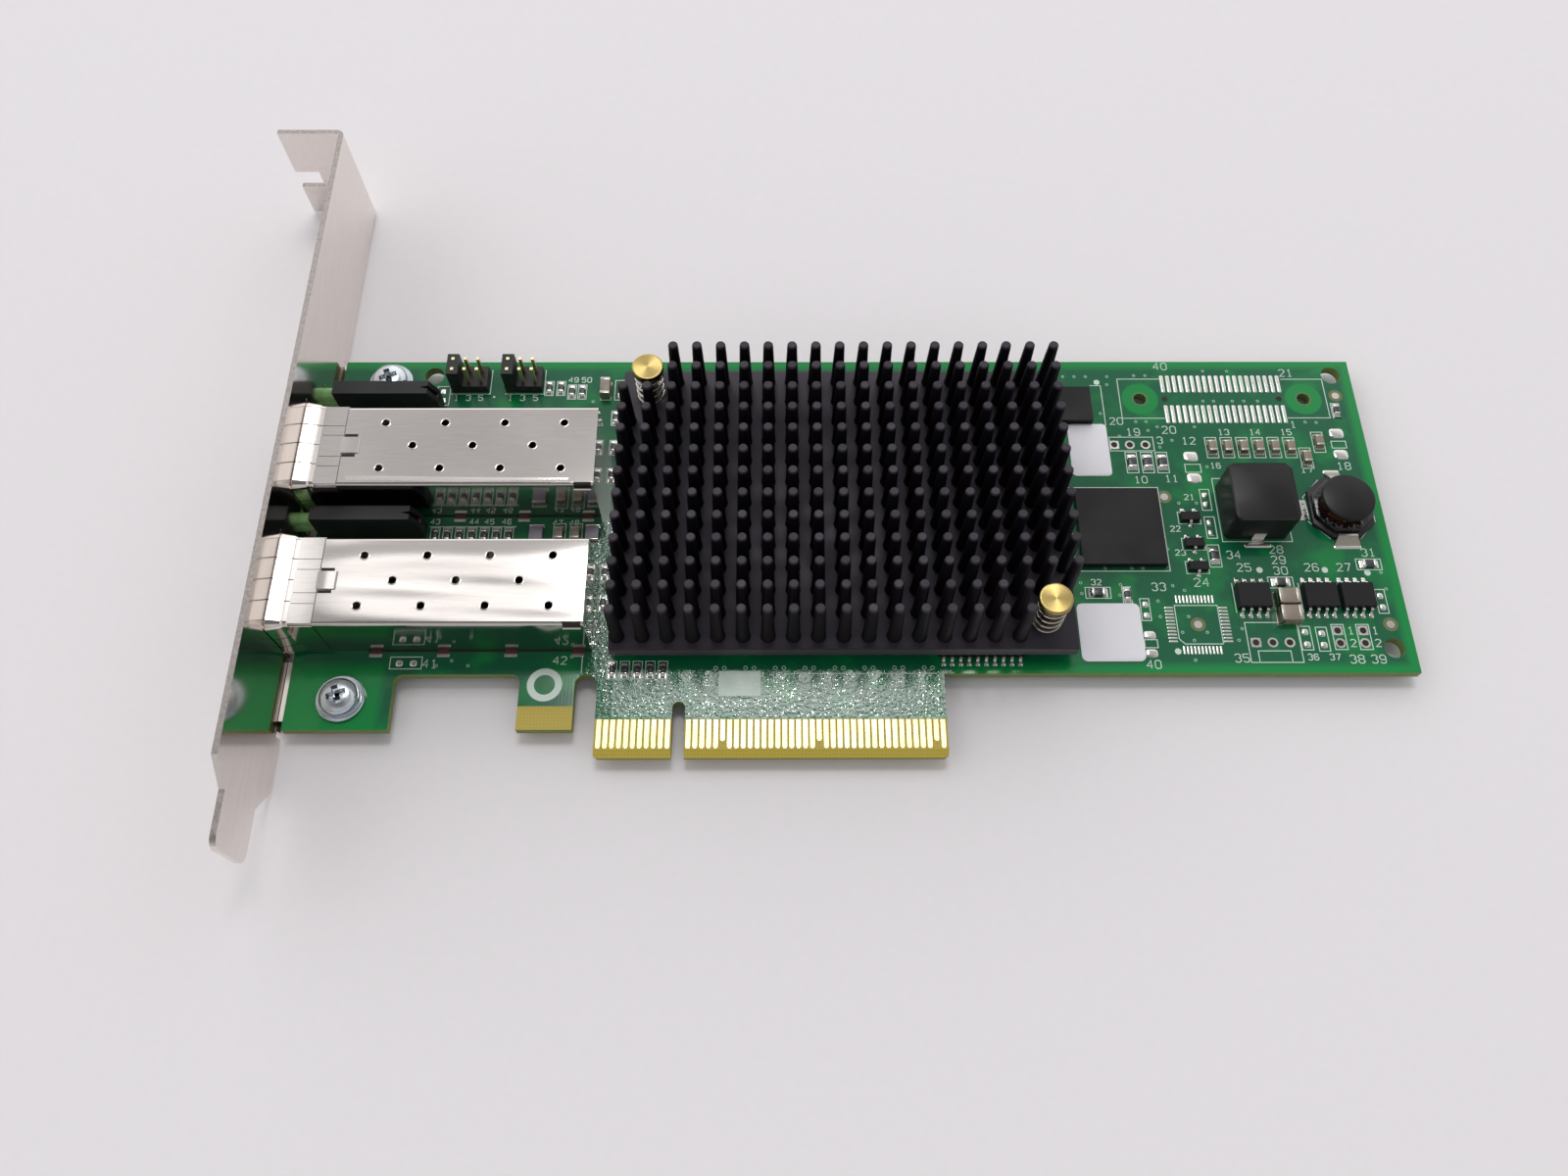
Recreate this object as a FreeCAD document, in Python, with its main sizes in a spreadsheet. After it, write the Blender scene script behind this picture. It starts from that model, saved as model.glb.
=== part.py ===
import FreeCAD, Part
import math
import operator
import os
from types import SimpleNamespace

import Sketcher

# Two-port optical adapter card for a server, lying with its component side up.
# X runs along the board away from the bracket, Y runs from the edge connector
# to the far edge, and Z stands on the component face.
# The origin is the middle of the connector's key, at the tip of the connector.

SIZES = [
    # The circuit board and its outline
    ("board_thick", 1.57, "thickness of the laminate"),
    ("board_length", 167.65, "bracket end to free end"),
    ("board_left", 57.5, "bracket end to the connector key"),
    ("board_depth", 68.9, "connector tip to the far edge"),
    ("body_near", 12.8, "connector tip to the near edge of the board's body"),
    ("ear_near", 4.2, "connector tip to the near edge of the screw ear"),
    ("ear_inner", 42.2, "connector key to the inner edge of the screw ear"),
    ("hook_left", 23.6, "connector key to the outer edge of the retention tab"),
    ("hook_width", 8.15, "width of the retention tab"),
    ("corner_round", 1.3, "radius of the outline's inner corners"),
    ("key_width", 1.9, "width of the connector's key slot"),
    ("key_depth", 8.5, "depth of the connector's key slot"),
    ("bevel_run", 1.2, "length of the connector's bevel"),
    ("bevel_drop", 0.45, "depth of the connector's bevel"),
    ("tab_corner", 0.5, "chamfer at the connector's corners"),
    # The edge contacts
    ("contact_pitch", 1.0, "contact to contact"),
    ("contact_width", 0.7, "width of a contact"),
    ("contact_thick", 0.05, "height of a contact above the laminate"),
    ("contact_tip", 1.3, "connector tip to the contacts"),
    ("contact_length", 4.4, "length of a contact"),
    ("presence_short", 1.1, "what a card-present contact is shorter by"),
    ("key_to_contact", 1.5, "connector key to the nearest contact"),
    ("tab_margin", 0.65, "outermost contact to the connector's side"),
    # Holes in the board
    ("tooling_radius", 1.6, "radius of the three tooling holes"),
    ("tooling_right", 3.2, "tooling holes to the free end"),
    ("tooling_far", 2.8, "tooling holes to the far edge"),
    ("tooling_near", 4.0, "tooling hole to the near edge of the board's body"),
    ("tooling_left", 42.6, "connector key to the far left tooling hole"),
    ("peg_radius", 1.2, "radius of the spare connector's peg holes"),
    ("peg_spacing", 27.1, "peg hole to peg hole"),
    ("peg_x", 74.45, "connector key to the first peg hole"),
    ("peg_y", 61.45, "connector tip to the peg holes"),
    # The mounting bracket
    ("sheet", 0.86, "thickness of the bracket's steel"),
    ("bracket_gap", 0.85, "bracket to the end of the board"),
    ("bracket_width", 18.42, "width of the bracket's plate"),
    ("screw_tab_y", 104.0, "connector tip to the near face of the screw tab"),
    ("screw_tab_reach", 11.2, "length of the screw tab"),
    ("screw_notch_width", 3.5, "width of the notch in the screw tab"),
    ("screw_notch_depth", 4.1, "depth of the notch in the screw tab"),
    ("screw_notch_z", 5.5, "board face to the middle of the notch"),
    ("bend_radius", 0.5, "inner radius of the bracket's bends"),
    ("shoulder_y", 4.5, "connector tip to the start of the tongue's taper"),
    ("taper_run", 3.5, "length of the tongue's taper"),
    ("tongue_width", 10.2, "width of the tongue"),
    ("tongue_reach", 15.8, "connector tip to the end of the tongue"),
    ("tongue_round", 1.8, "radius of the tongue's corners"),
    ("window_gap", 0.95, "port cage to the edge of its window"),
    ("lens_gap", 0.15, "light lens to the edge of its window"),
    ("lug_width", 9.2, "width of a lug under the board"),
    ("lug_reach", 13.0, "length of a lug under the board"),
    ("relief_width", 0.8, "width of the cut beside a lug's bend"),
    ("relief_depth", 1.7, "height of the cut beside a lug's bend"),
    # The bracket's screws
    ("screw_x", 49.5, "connector key to the bracket's screws"),
    ("screw_near", 8.9, "connector tip to the near screw"),
    ("screw_far", 64.5, "connector tip to the far screw"),
    ("screw_radius", 1.5, "radius of a screw's thread"),
    ("screw_clear", 0.1, "thread to the holes around it"),
    ("head_radius", 2.9, "radius of a screw's head"),
    ("head_height", 2.5, "height of a screw's head"),
    # The two port cages
    ("cage_width", 14.0, "width of a cage"),
    ("cage_height", 9.7, "height of a cage"),
    ("cage_length", 47.9, "length of a cage"),
    ("cage_sheet", 0.3, "thickness of a cage's sheet"),
    ("cage_rear", 13.25, "connector key to the back of the cages"),
    ("near_cage_y", 23.6, "connector tip to the middle of the near cage"),
    ("far_cage_y", 46.5, "connector tip to the middle of the far cage"),
    ("cage_round", 0.5, "radius of a cage's bends"),
    ("vent_radius", 0.68, "radius of a vent hole"),
    ("vent_pitch", 9.15, "vent hole to vent hole along a row"),
    ("vent_row", 4.05, "row of vent holes to the next"),
    ("vent_first", 5.1, "back of the cage to the first vent hole"),
    ("cage_leg_width", 0.8, "width of a cage's leg"),
    ("cage_leg_pitch", 10.05, "leg to leg"),
    ("cage_leg_first", 2.0, "back of the cage to the first leg"),
    ("leg_tail", 1.0, "what a leg shows below the board"),
    ("leg_clear", 0.1, "a leg to the slot around it"),
    # The sprung collar around the mouth of a cage
    ("collar_sheet", 0.2, "thickness of the collar's sheet"),
    ("collar_clear", 0.05, "collar to the cage inside it"),
    ("collar_rear", 39.0, "back of the cage to the back of the collar"),
    ("collar_band", 3.3, "length of the collar's flat band"),
    ("collar_rise", 1.6, "length of the fingers' steep side"),
    ("collar_fall", 3.5, "length of the fingers' gentle side"),
    ("collar_bulge", 0.75, "height of the fingers' ridge"),
    ("collar_lift", 0.6, "board to the lower edge of the collar"),
    ("collar_slit", 0.3, "width of the slit between two fingers"),
    ("finger_width", 3.4, "width of a spring finger"),
    ("latch_length", 3.0, "length of the collar's rear tab"),
    ("latch_width", 4.6, "width of the collar's rear tab"),
    # The connector inside a cage
    ("socket_length", 10.0, "length of the connector in a cage"),
    ("socket_width", 10.4, "width of the connector in a cage"),
    ("socket_height", 6.2, "height of the connector in a cage"),
    ("socket_slot_width", 9.2, "width of the connector's slot"),
    ("socket_slot_height", 1.4, "height of the connector's slot"),
    ("socket_slot_z", 3.0, "board to the connector's slot"),
    ("socket_slot_depth", 6.0, "depth of the connector's slot"),
    ("socket_rear", 1.3, "back of the cage to the back of the connector"),
    ("socket_clear", 0.5, "connector to the cut-out in the cage's floor"),
    # The status lights
    ("light_offset", 13.25, "middle of a cage to the middle of its light holder"),
    ("holder_length", 16.3, "length of a light holder"),
    ("holder_width", 2.4, "width of a light holder"),
    ("holder_height", 6.0, "height of a light holder"),
    ("holder_slope", 1.15, "length of the slope at the back of a light holder"),
    ("holder_drop", 2.5, "height of the slope at the back of a light holder"),
    ("holder_notch", 1.4, "length of the notch in the back of a light holder"),
    ("notch_width", 1.0, "width of the notch in the back of a light holder"),
    ("holder_front", 0.85, "bracket end of the board to a light holder"),
    ("lens_width", 2.2, "width of a light's lens"),
    ("lens_height", 4.0, "height of a light's lens"),
    ("lens_z", 1.0, "board to a light's lens"),
    ("lens_proud", 0.3, "what a lens stands out of the bracket"),
    # The jumper headers
    ("header_pitch", 2.0, "header pin to header pin"),
    ("header_height", 1.6, "height of a header's base"),
    ("left_header_x", 36.3, "connector key to the middle of the left header"),
    ("right_header_x", 27.4, "connector key to the middle of the right header"),
    ("header_y", 64.9, "connector tip to the middle of the headers"),
    ("header_pin", 0.5, "side of a header pin"),
    ("header_pin_top", 5.2, "board to the top of a header pin"),
    ("header_pin_clear", 0.03, "header pin to the plastic around it"),
    ("cap_height", 3.5, "height of a jumper cap"),
    ("cap_margin", 0.05, "what a jumper cap is smaller by on each side"),
    # The heat sink and what it stands on
    ("sink_x", 24.17, "connector key to the middle of the heat sink"),
    ("sink_y", 39.43, "connector tip to the middle of the heat sink"),
    ("sink_floor", 2.0, "board to the underside of the heat sink"),
    ("sink_base", 2.4, "thickness of the heat sink's base"),
    ("fin_pitch_x", 3.69, "pin fin to pin fin along X"),
    ("fin_pitch_y", 3.73, "pin fin to pin fin along Y"),
    ("fin_height", 10.0, "height of a pin fin"),
    ("fin_foot", 1.85, "side of a pin fin at its foot"),
    ("fin_taper", 1.6, "slope of a pin fin's sides in degrees"),
    ("sink_margin_x", 1.25, "outermost fins to the side of the base"),
    ("sink_margin_y", 2.15, "outermost fins to the front of the base"),
    ("pad_side", 30.0, "side of the thermal pad"),
    ("pad_thick", 0.15, "thickness of the thermal pad"),
    ("package_side", 35.0, "side of the controller's package"),
    ("package_base", 1.15, "thickness of the controller's substrate"),
    # The sprung push pins that hold the heat sink
    ("push_hole", 1.6, "radius of the push pins' holes"),
    ("push_clear", 0.35, "push pin to its hole"),
    ("push_head", 2.45, "radius of a push pin's head"),
    ("push_head_thick", 1.1, "thickness of a push pin's head"),
    ("push_top", 12.1, "board to the top of a push pin"),
    ("push_along", 29.89, "middle of the heat sink to a push pin, along the board"),
    ("push_across", 19.93, "middle of the heat sink to a push pin, across the board"),
    ("push_barb", 1.8, "radius of a push pin's barb"),
    ("push_barb_height", 0.9, "height of a push pin's barb"),
    ("push_tail", 1.4, "what a push pin shows below the board"),
    ("spring_wire", 0.4, "side of the spring's wire"),
    ("spring_radius", 1.9, "middle radius of a spring"),
    # Packages on the board
    ("memory_width", 13.1, "width of the memory chip"),
    ("memory_depth", 13.4, "depth of the memory chip"),
    ("memory_height", 1.2, "height of the memory chip"),
    ("memory_x", 68.05, "connector key to the middle of the memory chip"),
    ("memory_y", 37.1, "connector tip to the middle of the memory chip"),
    ("flash_width", 6.0, "width of the flash chip"),
    ("flash_depth", 6.5, "depth of the flash chip"),
    ("flash_height", 1.1, "height of the flash chip"),
    ("flash_x", 63.0, "connector key to the middle of the flash chip"),
    ("flash_y", 59.9, "connector tip to the middle of the flash chip"),
    ("outline_width", 4.9, "width of an eight-lead package"),
    ("outline_depth", 3.9, "depth of an eight-lead package"),
    ("outline_height", 1.5, "height of a leaded package"),
    ("lead_pitch", 1.27, "lead to lead"),
    ("lead_width", 0.42, "width of a lead"),
    ("lead_height", 0.5, "height of a lead's shoulder"),
    ("lead_reach", 1.1, "body of a package to the tip of a lead"),
    ("power_y", 25.1, "connector tip to the row of power packages"),
    ("driver_width", 12.7, "width of the package under the heat sink"),
    ("driver_x", 44.9, "connector key to the package under the heat sink"),
    ("driver_y", 17.4, "connector tip to the package under the heat sink"),
    ("trio_x", 79.35, "connector key to the three small transistors"),
    ("trio_width", 2.9, "width of a small transistor"),
    ("trio_depth", 1.4, "depth of a small transistor"),
    ("trio_height", 1.0, "height of a small transistor"),
    # The two inductors
    ("choke_side", 10.4, "side of the square inductor"),
    ("choke_height", 6.2, "height of the square inductor"),
    ("choke_x", 89.4, "connector key to the middle of the square inductor"),
    ("choke_y", 40.35, "connector tip to the middle of the square inductor"),
    ("choke_corner", 1.1, "chamfer at the square inductor's corners"),
    ("choke_rim", 0.4, "chamfer round the top of the square inductor"),
    ("clip_width", 3.8, "width of the square inductor's terminals"),
    ("clip_reach", 0.55, "what the square inductor's terminals stand out"),
    ("drum_radius", 4.1, "radius of the drum inductor's top"),
    ("drum_foot", 5.05, "half the width of the drum inductor's base"),
    ("drum_height", 3.9, "height of the drum inductor"),
    ("drum_x", 103.35, "connector key to the drum inductor"),
    ("drum_y", 40.6, "connector tip to the drum inductor"),
    ("drum_flange", 0.8, "thickness of the drum's flanges"),
    ("drum_waist", 3.0, "side of the drum's core between its flanges"),
    ("winding_radius", 3.5, "radius of the drum's winding"),
    ("drum_base", 0.7, "thickness of the drum's mounting base"),
    # Chip capacitors and resistors
    ("block_width", 2.5, "width of a large capacitor"),
    ("block_length", 3.2, "length of a large capacitor"),
    ("block_height", 1.9, "height of a large capacitor"),
    ("chip_width", 1.25, "width of a chip component"),
    ("chip_length", 2.0, "length of a chip component"),
    ("cap_chip_height", 0.9, "height of a chip capacitor"),
    ("resistor_height", 0.5, "height of a chip resistor"),
    ("small_width", 0.8, "width of a small chip component"),
    ("small_length", 1.6, "length of a small chip component"),
    ("bead_width", 2.1, "width of a ferrite bead"),
    ("bead_length", 2.6, "length of a ferrite bead"),
    ("bead_height", 0.9, "height of a ferrite bead"),
]

CONTACTS_LEFT = 11
CONTACTS_RIGHT = 38
PRESENCE_CONTACTS = (5, 19, 36)
FIN_COLUMNS = 19
FIN_ROWS = 13
HIDDEN_SIDES = 6
FINS_LEFT_OUT = 2
CAGE_LEGS = 4
VENTS_IN_OUTER_ROWS = 4
HEADER_COLUMNS = 3
HEADER_ROWS = 2
SPRING_TURNS = 4
SPRING_SEGMENTS = 6

doc = FreeCAD.newDocument("adapter_card")
sheet = doc.addObject("Spreadsheet::Sheet", "dims")


class Size:
    """A length that keeps the sheet formula it comes from beside its number."""

    def __init__(self, value, formula):
        self.value = value
        self.formula = formula

    def __add__(self, other):
        return combine(self, "+", other)

    def __radd__(self, other):
        return combine(other, "+", self)

    def __sub__(self, other):
        return combine(self, "-", other)

    def __rsub__(self, other):
        return combine(other, "-", self)

    def __mul__(self, other):
        return combine(self, "*", other)

    __rmul__ = __mul__

    def __truediv__(self, other):
        return combine(self, "/", other)

    def __neg__(self):
        return combine(0, "-", self)


SIGNS = {"+": operator.add, "-": operator.sub, "*": operator.mul, "/": operator.truediv}


def as_size(thing):
    """Plain numbers become sizes whose formula is the number itself."""
    if isinstance(thing, Size):
        return thing
    return Size(float(thing), f"{float(thing):.6f}")


def combine(first, sign, second):
    first, second = as_size(first), as_size(second)
    value = SIGNS[sign](first.value, second.value)
    return Size(value, f"({first.formula} {sign} {second.formula})")


def fill_sheet():
    """Write every size to its own row and give back the sizes by name."""
    named = {}
    for row, (alias, value, meaning) in enumerate(SIZES, 1):
        sheet.set(f"A{row}", meaning)
        sheet.set(f"B{row}", str(value))
        sheet.setAlias(f"B{row}", alias)
        named[alias] = Size(value, f"dims.{alias}")
    doc.recompute()
    return SimpleNamespace(**named)


d = fill_sheet()


# Helpers that draw sketches and add features, all bound to the sheet


def bind(thing, path, size):
    thing.setExpression(path, as_size(size).formula)


def place(thing, x=0, y=0, z=0):
    for axis, size in zip("xyz", (x, y, z)):
        bind(thing, f"Placement.Base.{axis}", size)


def new_body(label, x=0, y=0, z=0):
    body = doc.addObject("PartDesign::Body", label)
    body.Label = label
    place(body, x, y, z)
    return body


def origin_plane(body, role):
    return next(feature for feature in body.Origin.OriginFeatures if feature.Role == role)


def new_sketch(body, name, role, lift=0):
    """A sketch on one of the body's own planes, lifted along that plane's normal."""
    sketch = body.newObject("Sketcher::SketchObject", name)
    sketch.AttachmentSupport = [(origin_plane(body, role), "")]
    sketch.MapMode = "FlatFace"
    bind(sketch, "AttachmentOffset.Base.z", lift)
    return sketch


def point_rules(geometry, end, x, y):
    """The two constraints that hold a point, each with the size that drives it."""
    for kind, size in (("DistanceX", as_size(x)), ("DistanceY", as_size(y))):
        yield Sketcher.Constraint(kind, -1, 1, geometry, end, size.value), size


def add_rules(sketch, rules):
    """Add constraints in one go and bind those that a size drives."""
    numbers = sketch.addConstraint([rule for rule, size in rules])
    for number, (rule, size) in zip(numbers, rules):
        if size is not None:
            bind(sketch, f"Constraints[{number}]", size)


def draw_outline(sketch, points):
    """A closed outline of straight lines with a corner at each point."""
    first = sketch.GeometryCount
    corners = [FreeCAD.Vector(as_size(x).value, as_size(y).value, 0) for x, y in points]
    sides = zip(corners, corners[1:] + corners[:1])
    sketch.addGeometry([Part.LineSegment(start, end) for start, end in sides], False)
    rules = []
    for step, (x, y) in enumerate(points):
        following = first + (step + 1) % len(points)
        rules.append((Sketcher.Constraint("Coincident", first + step, 2, following, 1), None))
        rules.extend(point_rules(first + step, 1, x, y))
    add_rules(sketch, rules)


def draw_box(sketch, left, low, right, high):
    draw_outline(sketch, [(left, low), (right, low), (right, high), (left, high)])


def draw_circle(sketch, x, y, radius):
    middle = FreeCAD.Vector(as_size(x).value, as_size(y).value, 0)
    up = FreeCAD.Vector(0, 0, 1)
    index = sketch.addGeometry(Part.Circle(middle, up, as_size(radius).value), False)
    rules = list(point_rules(index, 3, x, y))
    rules.append((Sketcher.Constraint("Radius", index, as_size(radius).value), as_size(radius)))
    add_rules(sketch, rules)


def draw_hexagon(sketch, x, y, radius):
    """Small vents, peg holes and hidden round fits are six-sided, which keeps the mesh light."""
    turns = [math.tau * (step + 0.5) / HIDDEN_SIDES for step in range(HIDDEN_SIDES)]
    draw_outline(sketch, [(x + radius * math.cos(turn), y + radius * math.sin(turn)) for turn in turns])


def draw_octagon(sketch, half, cut):
    """A square about the middle with its corners cut off."""
    draw_outline(sketch, [
        (-cut, -half), (cut, -half), (half, -cut), (half, cut),
        (cut, half), (-cut, half), (-half, cut), (-half, -cut),
    ])


def pad(body, sketch, length, backwards=False):
    feature = body.newObject("PartDesign::Pad", f"{sketch.Name}_pad")
    feature.Profile = sketch
    bind(feature, "Length", length)
    feature.Reversed = backwards
    return feature


def pocket(body, sketch, length=None, backwards=False):
    """A cut against the sketch's normal, or right through both ways without a length."""
    feature = body.newObject("PartDesign::Pocket", f"{sketch.Name}_pocket")
    feature.Profile = sketch
    if length is None:
        feature.Type = "ThroughAll"
        feature.Midplane = True
    else:
        bind(feature, "Length", length)
        feature.Reversed = backwards
    return feature


def repeat(body, feature, sketch, axis, count, spacing, backwards=False, whole=False):
    """Copies in a row along one of a sketch's own axes, of one feature or of the whole body so far."""
    pattern = body.newObject("PartDesign::LinearPattern", f"{feature.Name}_row")
    if whole:
        pattern.TransformMode = "Whole shape"
        pattern.Refine = False
    else:
        pattern.Originals = [feature]
    pattern.Direction = (sketch, [axis])
    pattern.Mode = "Spacing"
    pattern.Occurrences = count
    pattern.Reversed = backwards
    bind(pattern, "Offset", spacing)
    body.Tip = pattern
    return pattern


def round_edges(body, feature, radius, wanted):
    """Round the edges whose middle point is wanted."""
    doc.recompute()
    names = []
    for number, edge in enumerate(feature.Shape.Edges, 1):
        middle = edge.CenterOfMass
        if wanted(edge, middle):
            names.append(f"Edge{number}")
    fillet = body.newObject("PartDesign::Fillet", f"{feature.Name}_round")
    fillet.Base = (feature, names)
    bind(fillet, "Radius", radius)
    return fillet


def close_to(value, size, room=0.01):
    return abs(value - as_size(size).value) < room


def is_upright(edge):
    return edge.BoundBox.ZLength > 0.9 * edge.Length


def new_block(label, x, y, z, length, width, height):
    """A plain block standing on z, with its middle at x and y."""
    block = doc.addObject("Part::Box", label)
    block.Label = label
    bind(block, "Length", length)
    bind(block, "Width", width)
    bind(block, "Height", height)
    place(block, x - as_size(length) / 2, y - as_size(width) / 2, z)
    return block


def group(label, members):
    """Separate solids of one kind kept together as one node."""
    together = doc.addObject("Part::Compound", label)
    together.Label = label
    together.Links = members
    return together


# Places that several pieces share

board_right = d.board_length - d.board_left
connector_left = -(d.key_to_contact + d.contact_pitch * (CONTACTS_LEFT - 1) + d.tab_margin)
connector_right = d.key_to_contact + d.contact_pitch * (CONTACTS_RIGHT - 1) + d.tab_margin
hook_right = d.hook_width - d.hook_left
bracket_x = -(d.board_left + d.bracket_gap)
bracket_low = -(d.board_thick + d.sheet)
bracket_high = bracket_low + d.bracket_width
cage_centres = {"far": d.far_cage_y, "near": d.near_cage_y}
leg_reach = d.cage_width / 2 - d.cage_sheet / 2
header_centres = {"left": -d.left_header_x, "right": -d.right_header_x}
fin_half_x = d.fin_pitch_x * ((FIN_COLUMNS - 1) / 2)
fin_half_y = d.fin_pitch_y * ((FIN_ROWS - 1) / 2)
sink_half_x = fin_half_x + d.sink_margin_x
sink_half_y = fin_half_y + d.sink_margin_y
sink_top = d.sink_floor + d.sink_base
push_places = {
    "far": (d.sink_x - d.push_along, d.sink_y + d.push_across),
    "near": (d.sink_x + d.push_along, d.sink_y - d.push_across),
}


def leg_places():
    """Distances of a cage's legs from its back, and their sides."""
    for step in range(CAGE_LEGS):
        for side in (-1, 1):
            yield d.cage_leg_first + d.cage_leg_pitch * step, side


def header_pin_places():
    """Header pins from the middle of their header."""
    for column in range(HEADER_COLUMNS):
        for row in range(HEADER_ROWS):
            x = d.header_pitch * (column - (HEADER_COLUMNS - 1) / 2)
            yield x, d.header_pitch * (row - (HEADER_ROWS - 1) / 2)


# The circuit board


def make_circuit_board():
    body = new_body("circuit_board")
    slot_middle = d.body_near - (hook_right - connector_left) / -2
    key_middle = d.key_depth - d.key_width / 2
    shape = new_sketch(body, "board_outline", "XY_Plane")
    draw_outline(shape, [
        (-d.board_left, d.ear_near),
        (-d.ear_inner, d.ear_near),
        (-d.ear_inner, d.body_near),
        (-d.hook_left, d.body_near),
        (-d.hook_left, d.ear_near),
        (hook_right, d.ear_near),
        (hook_right, slot_middle),
        (connector_left, slot_middle),
        (connector_left, d.tab_corner),
        (connector_left + d.tab_corner, 0),
        (-d.key_width / 2, 0),
        (-d.key_width / 2, key_middle),
        (d.key_width / 2, key_middle),
        (d.key_width / 2, 0),
        (connector_right - d.tab_corner, 0),
        (connector_right, d.tab_corner),
        (connector_right, d.body_near),
        (board_right, d.body_near),
        (board_right, d.board_depth),
        (-d.board_left, d.board_depth),
    ])
    plate = pad(body, shape, d.board_thick, backwards=True)
    inner_corners = (-d.ear_inner, -d.hook_left)
    rounded = round_edges(
        body, plate, d.corner_round,
        lambda edge, at: is_upright(edge) and close_to(at.y, d.body_near)
        and any(close_to(at.x, x) for x in inner_corners))

    holes = new_sketch(body, "board_holes", "XY_Plane")
    draw_circle(holes, (hook_right + connector_left) / 2, slot_middle,
                (connector_left - hook_right) / 2)
    draw_circle(holes, 0, key_middle, d.key_width / 2)
    tooling_x = board_right - d.tooling_right
    tooling_y = d.board_depth - d.tooling_far
    draw_circle(holes, tooling_x, tooling_y, d.tooling_radius)
    draw_circle(holes, tooling_x, d.body_near + d.tooling_near, d.tooling_radius)
    draw_circle(holes, -d.tooling_left, tooling_y, d.tooling_radius)
    pocket(body, holes)
    fits = new_sketch(body, "fastener_holes", "XY_Plane")
    for y in (d.screw_near, d.screw_far):
        draw_hexagon(fits, -d.screw_x, y, d.screw_radius + d.screw_clear)
    for x, y in push_places.values():
        draw_hexagon(fits, x, y, d.push_hole)
    draw_hexagon(fits, d.peg_x, d.peg_y, d.peg_radius)
    draw_hexagon(fits, d.peg_x + d.peg_spacing, d.peg_y, d.peg_radius)
    pocket(body, fits)
    slot_x = d.cage_leg_width / 2 + d.leg_clear
    slot_y = d.cage_sheet / 2 + d.leg_clear
    for centre in cage_centres.values():
        slots = new_sketch(body, "cage_leg_slots", "XY_Plane")
        for distance, side in leg_places():
            x = -(d.cage_rear + distance)
            y = centre + leg_reach * side
            draw_box(slots, x - slot_x, y - slot_y, x + slot_x, y + slot_y)
        pocket(body, slots)

    bevels = new_sketch(body, "connector_bevels", "YZ_Plane", connector_left)
    draw_outline(bevels, [(0, 0), (d.bevel_run, 0), (0, -d.bevel_drop)])
    draw_outline(bevels, [
        (0, -d.board_thick),
        (d.bevel_run, -d.board_thick),
        (0, d.bevel_drop - d.board_thick),
    ])
    pocket(body, bevels, connector_right - connector_left, backwards=True)
    return body


def make_edge_contacts():
    """The contacts of the component side, with the card-present ones cut short at the tip."""
    body = new_body("edge_contacts")
    half = d.contact_width / 2
    for side, count in ((-1, CONTACTS_LEFT), (1, CONTACTS_RIGHT)):
        middle = d.key_to_contact * side
        one = new_sketch(body, "contact_outline", "XY_Plane")
        draw_box(one, middle - half, d.contact_tip, middle + half, d.contact_tip + d.contact_length)
        bar = pad(body, one, d.contact_thick)
        repeat(body, bar, one, "H_Axis", count, d.contact_pitch, backwards=side < 0)
    short = new_sketch(body, "presence_contacts", "XY_Plane", d.contact_thick)
    for step in PRESENCE_CONTACTS:
        middle = d.key_to_contact + d.contact_pitch * step
        draw_box(short, middle - d.contact_pitch / 2, d.contact_tip,
                 middle + d.contact_pitch / 2, d.contact_tip + d.presence_short)
    pocket(body, short, d.contact_thick)
    return body


# The bracket and its screws


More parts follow.
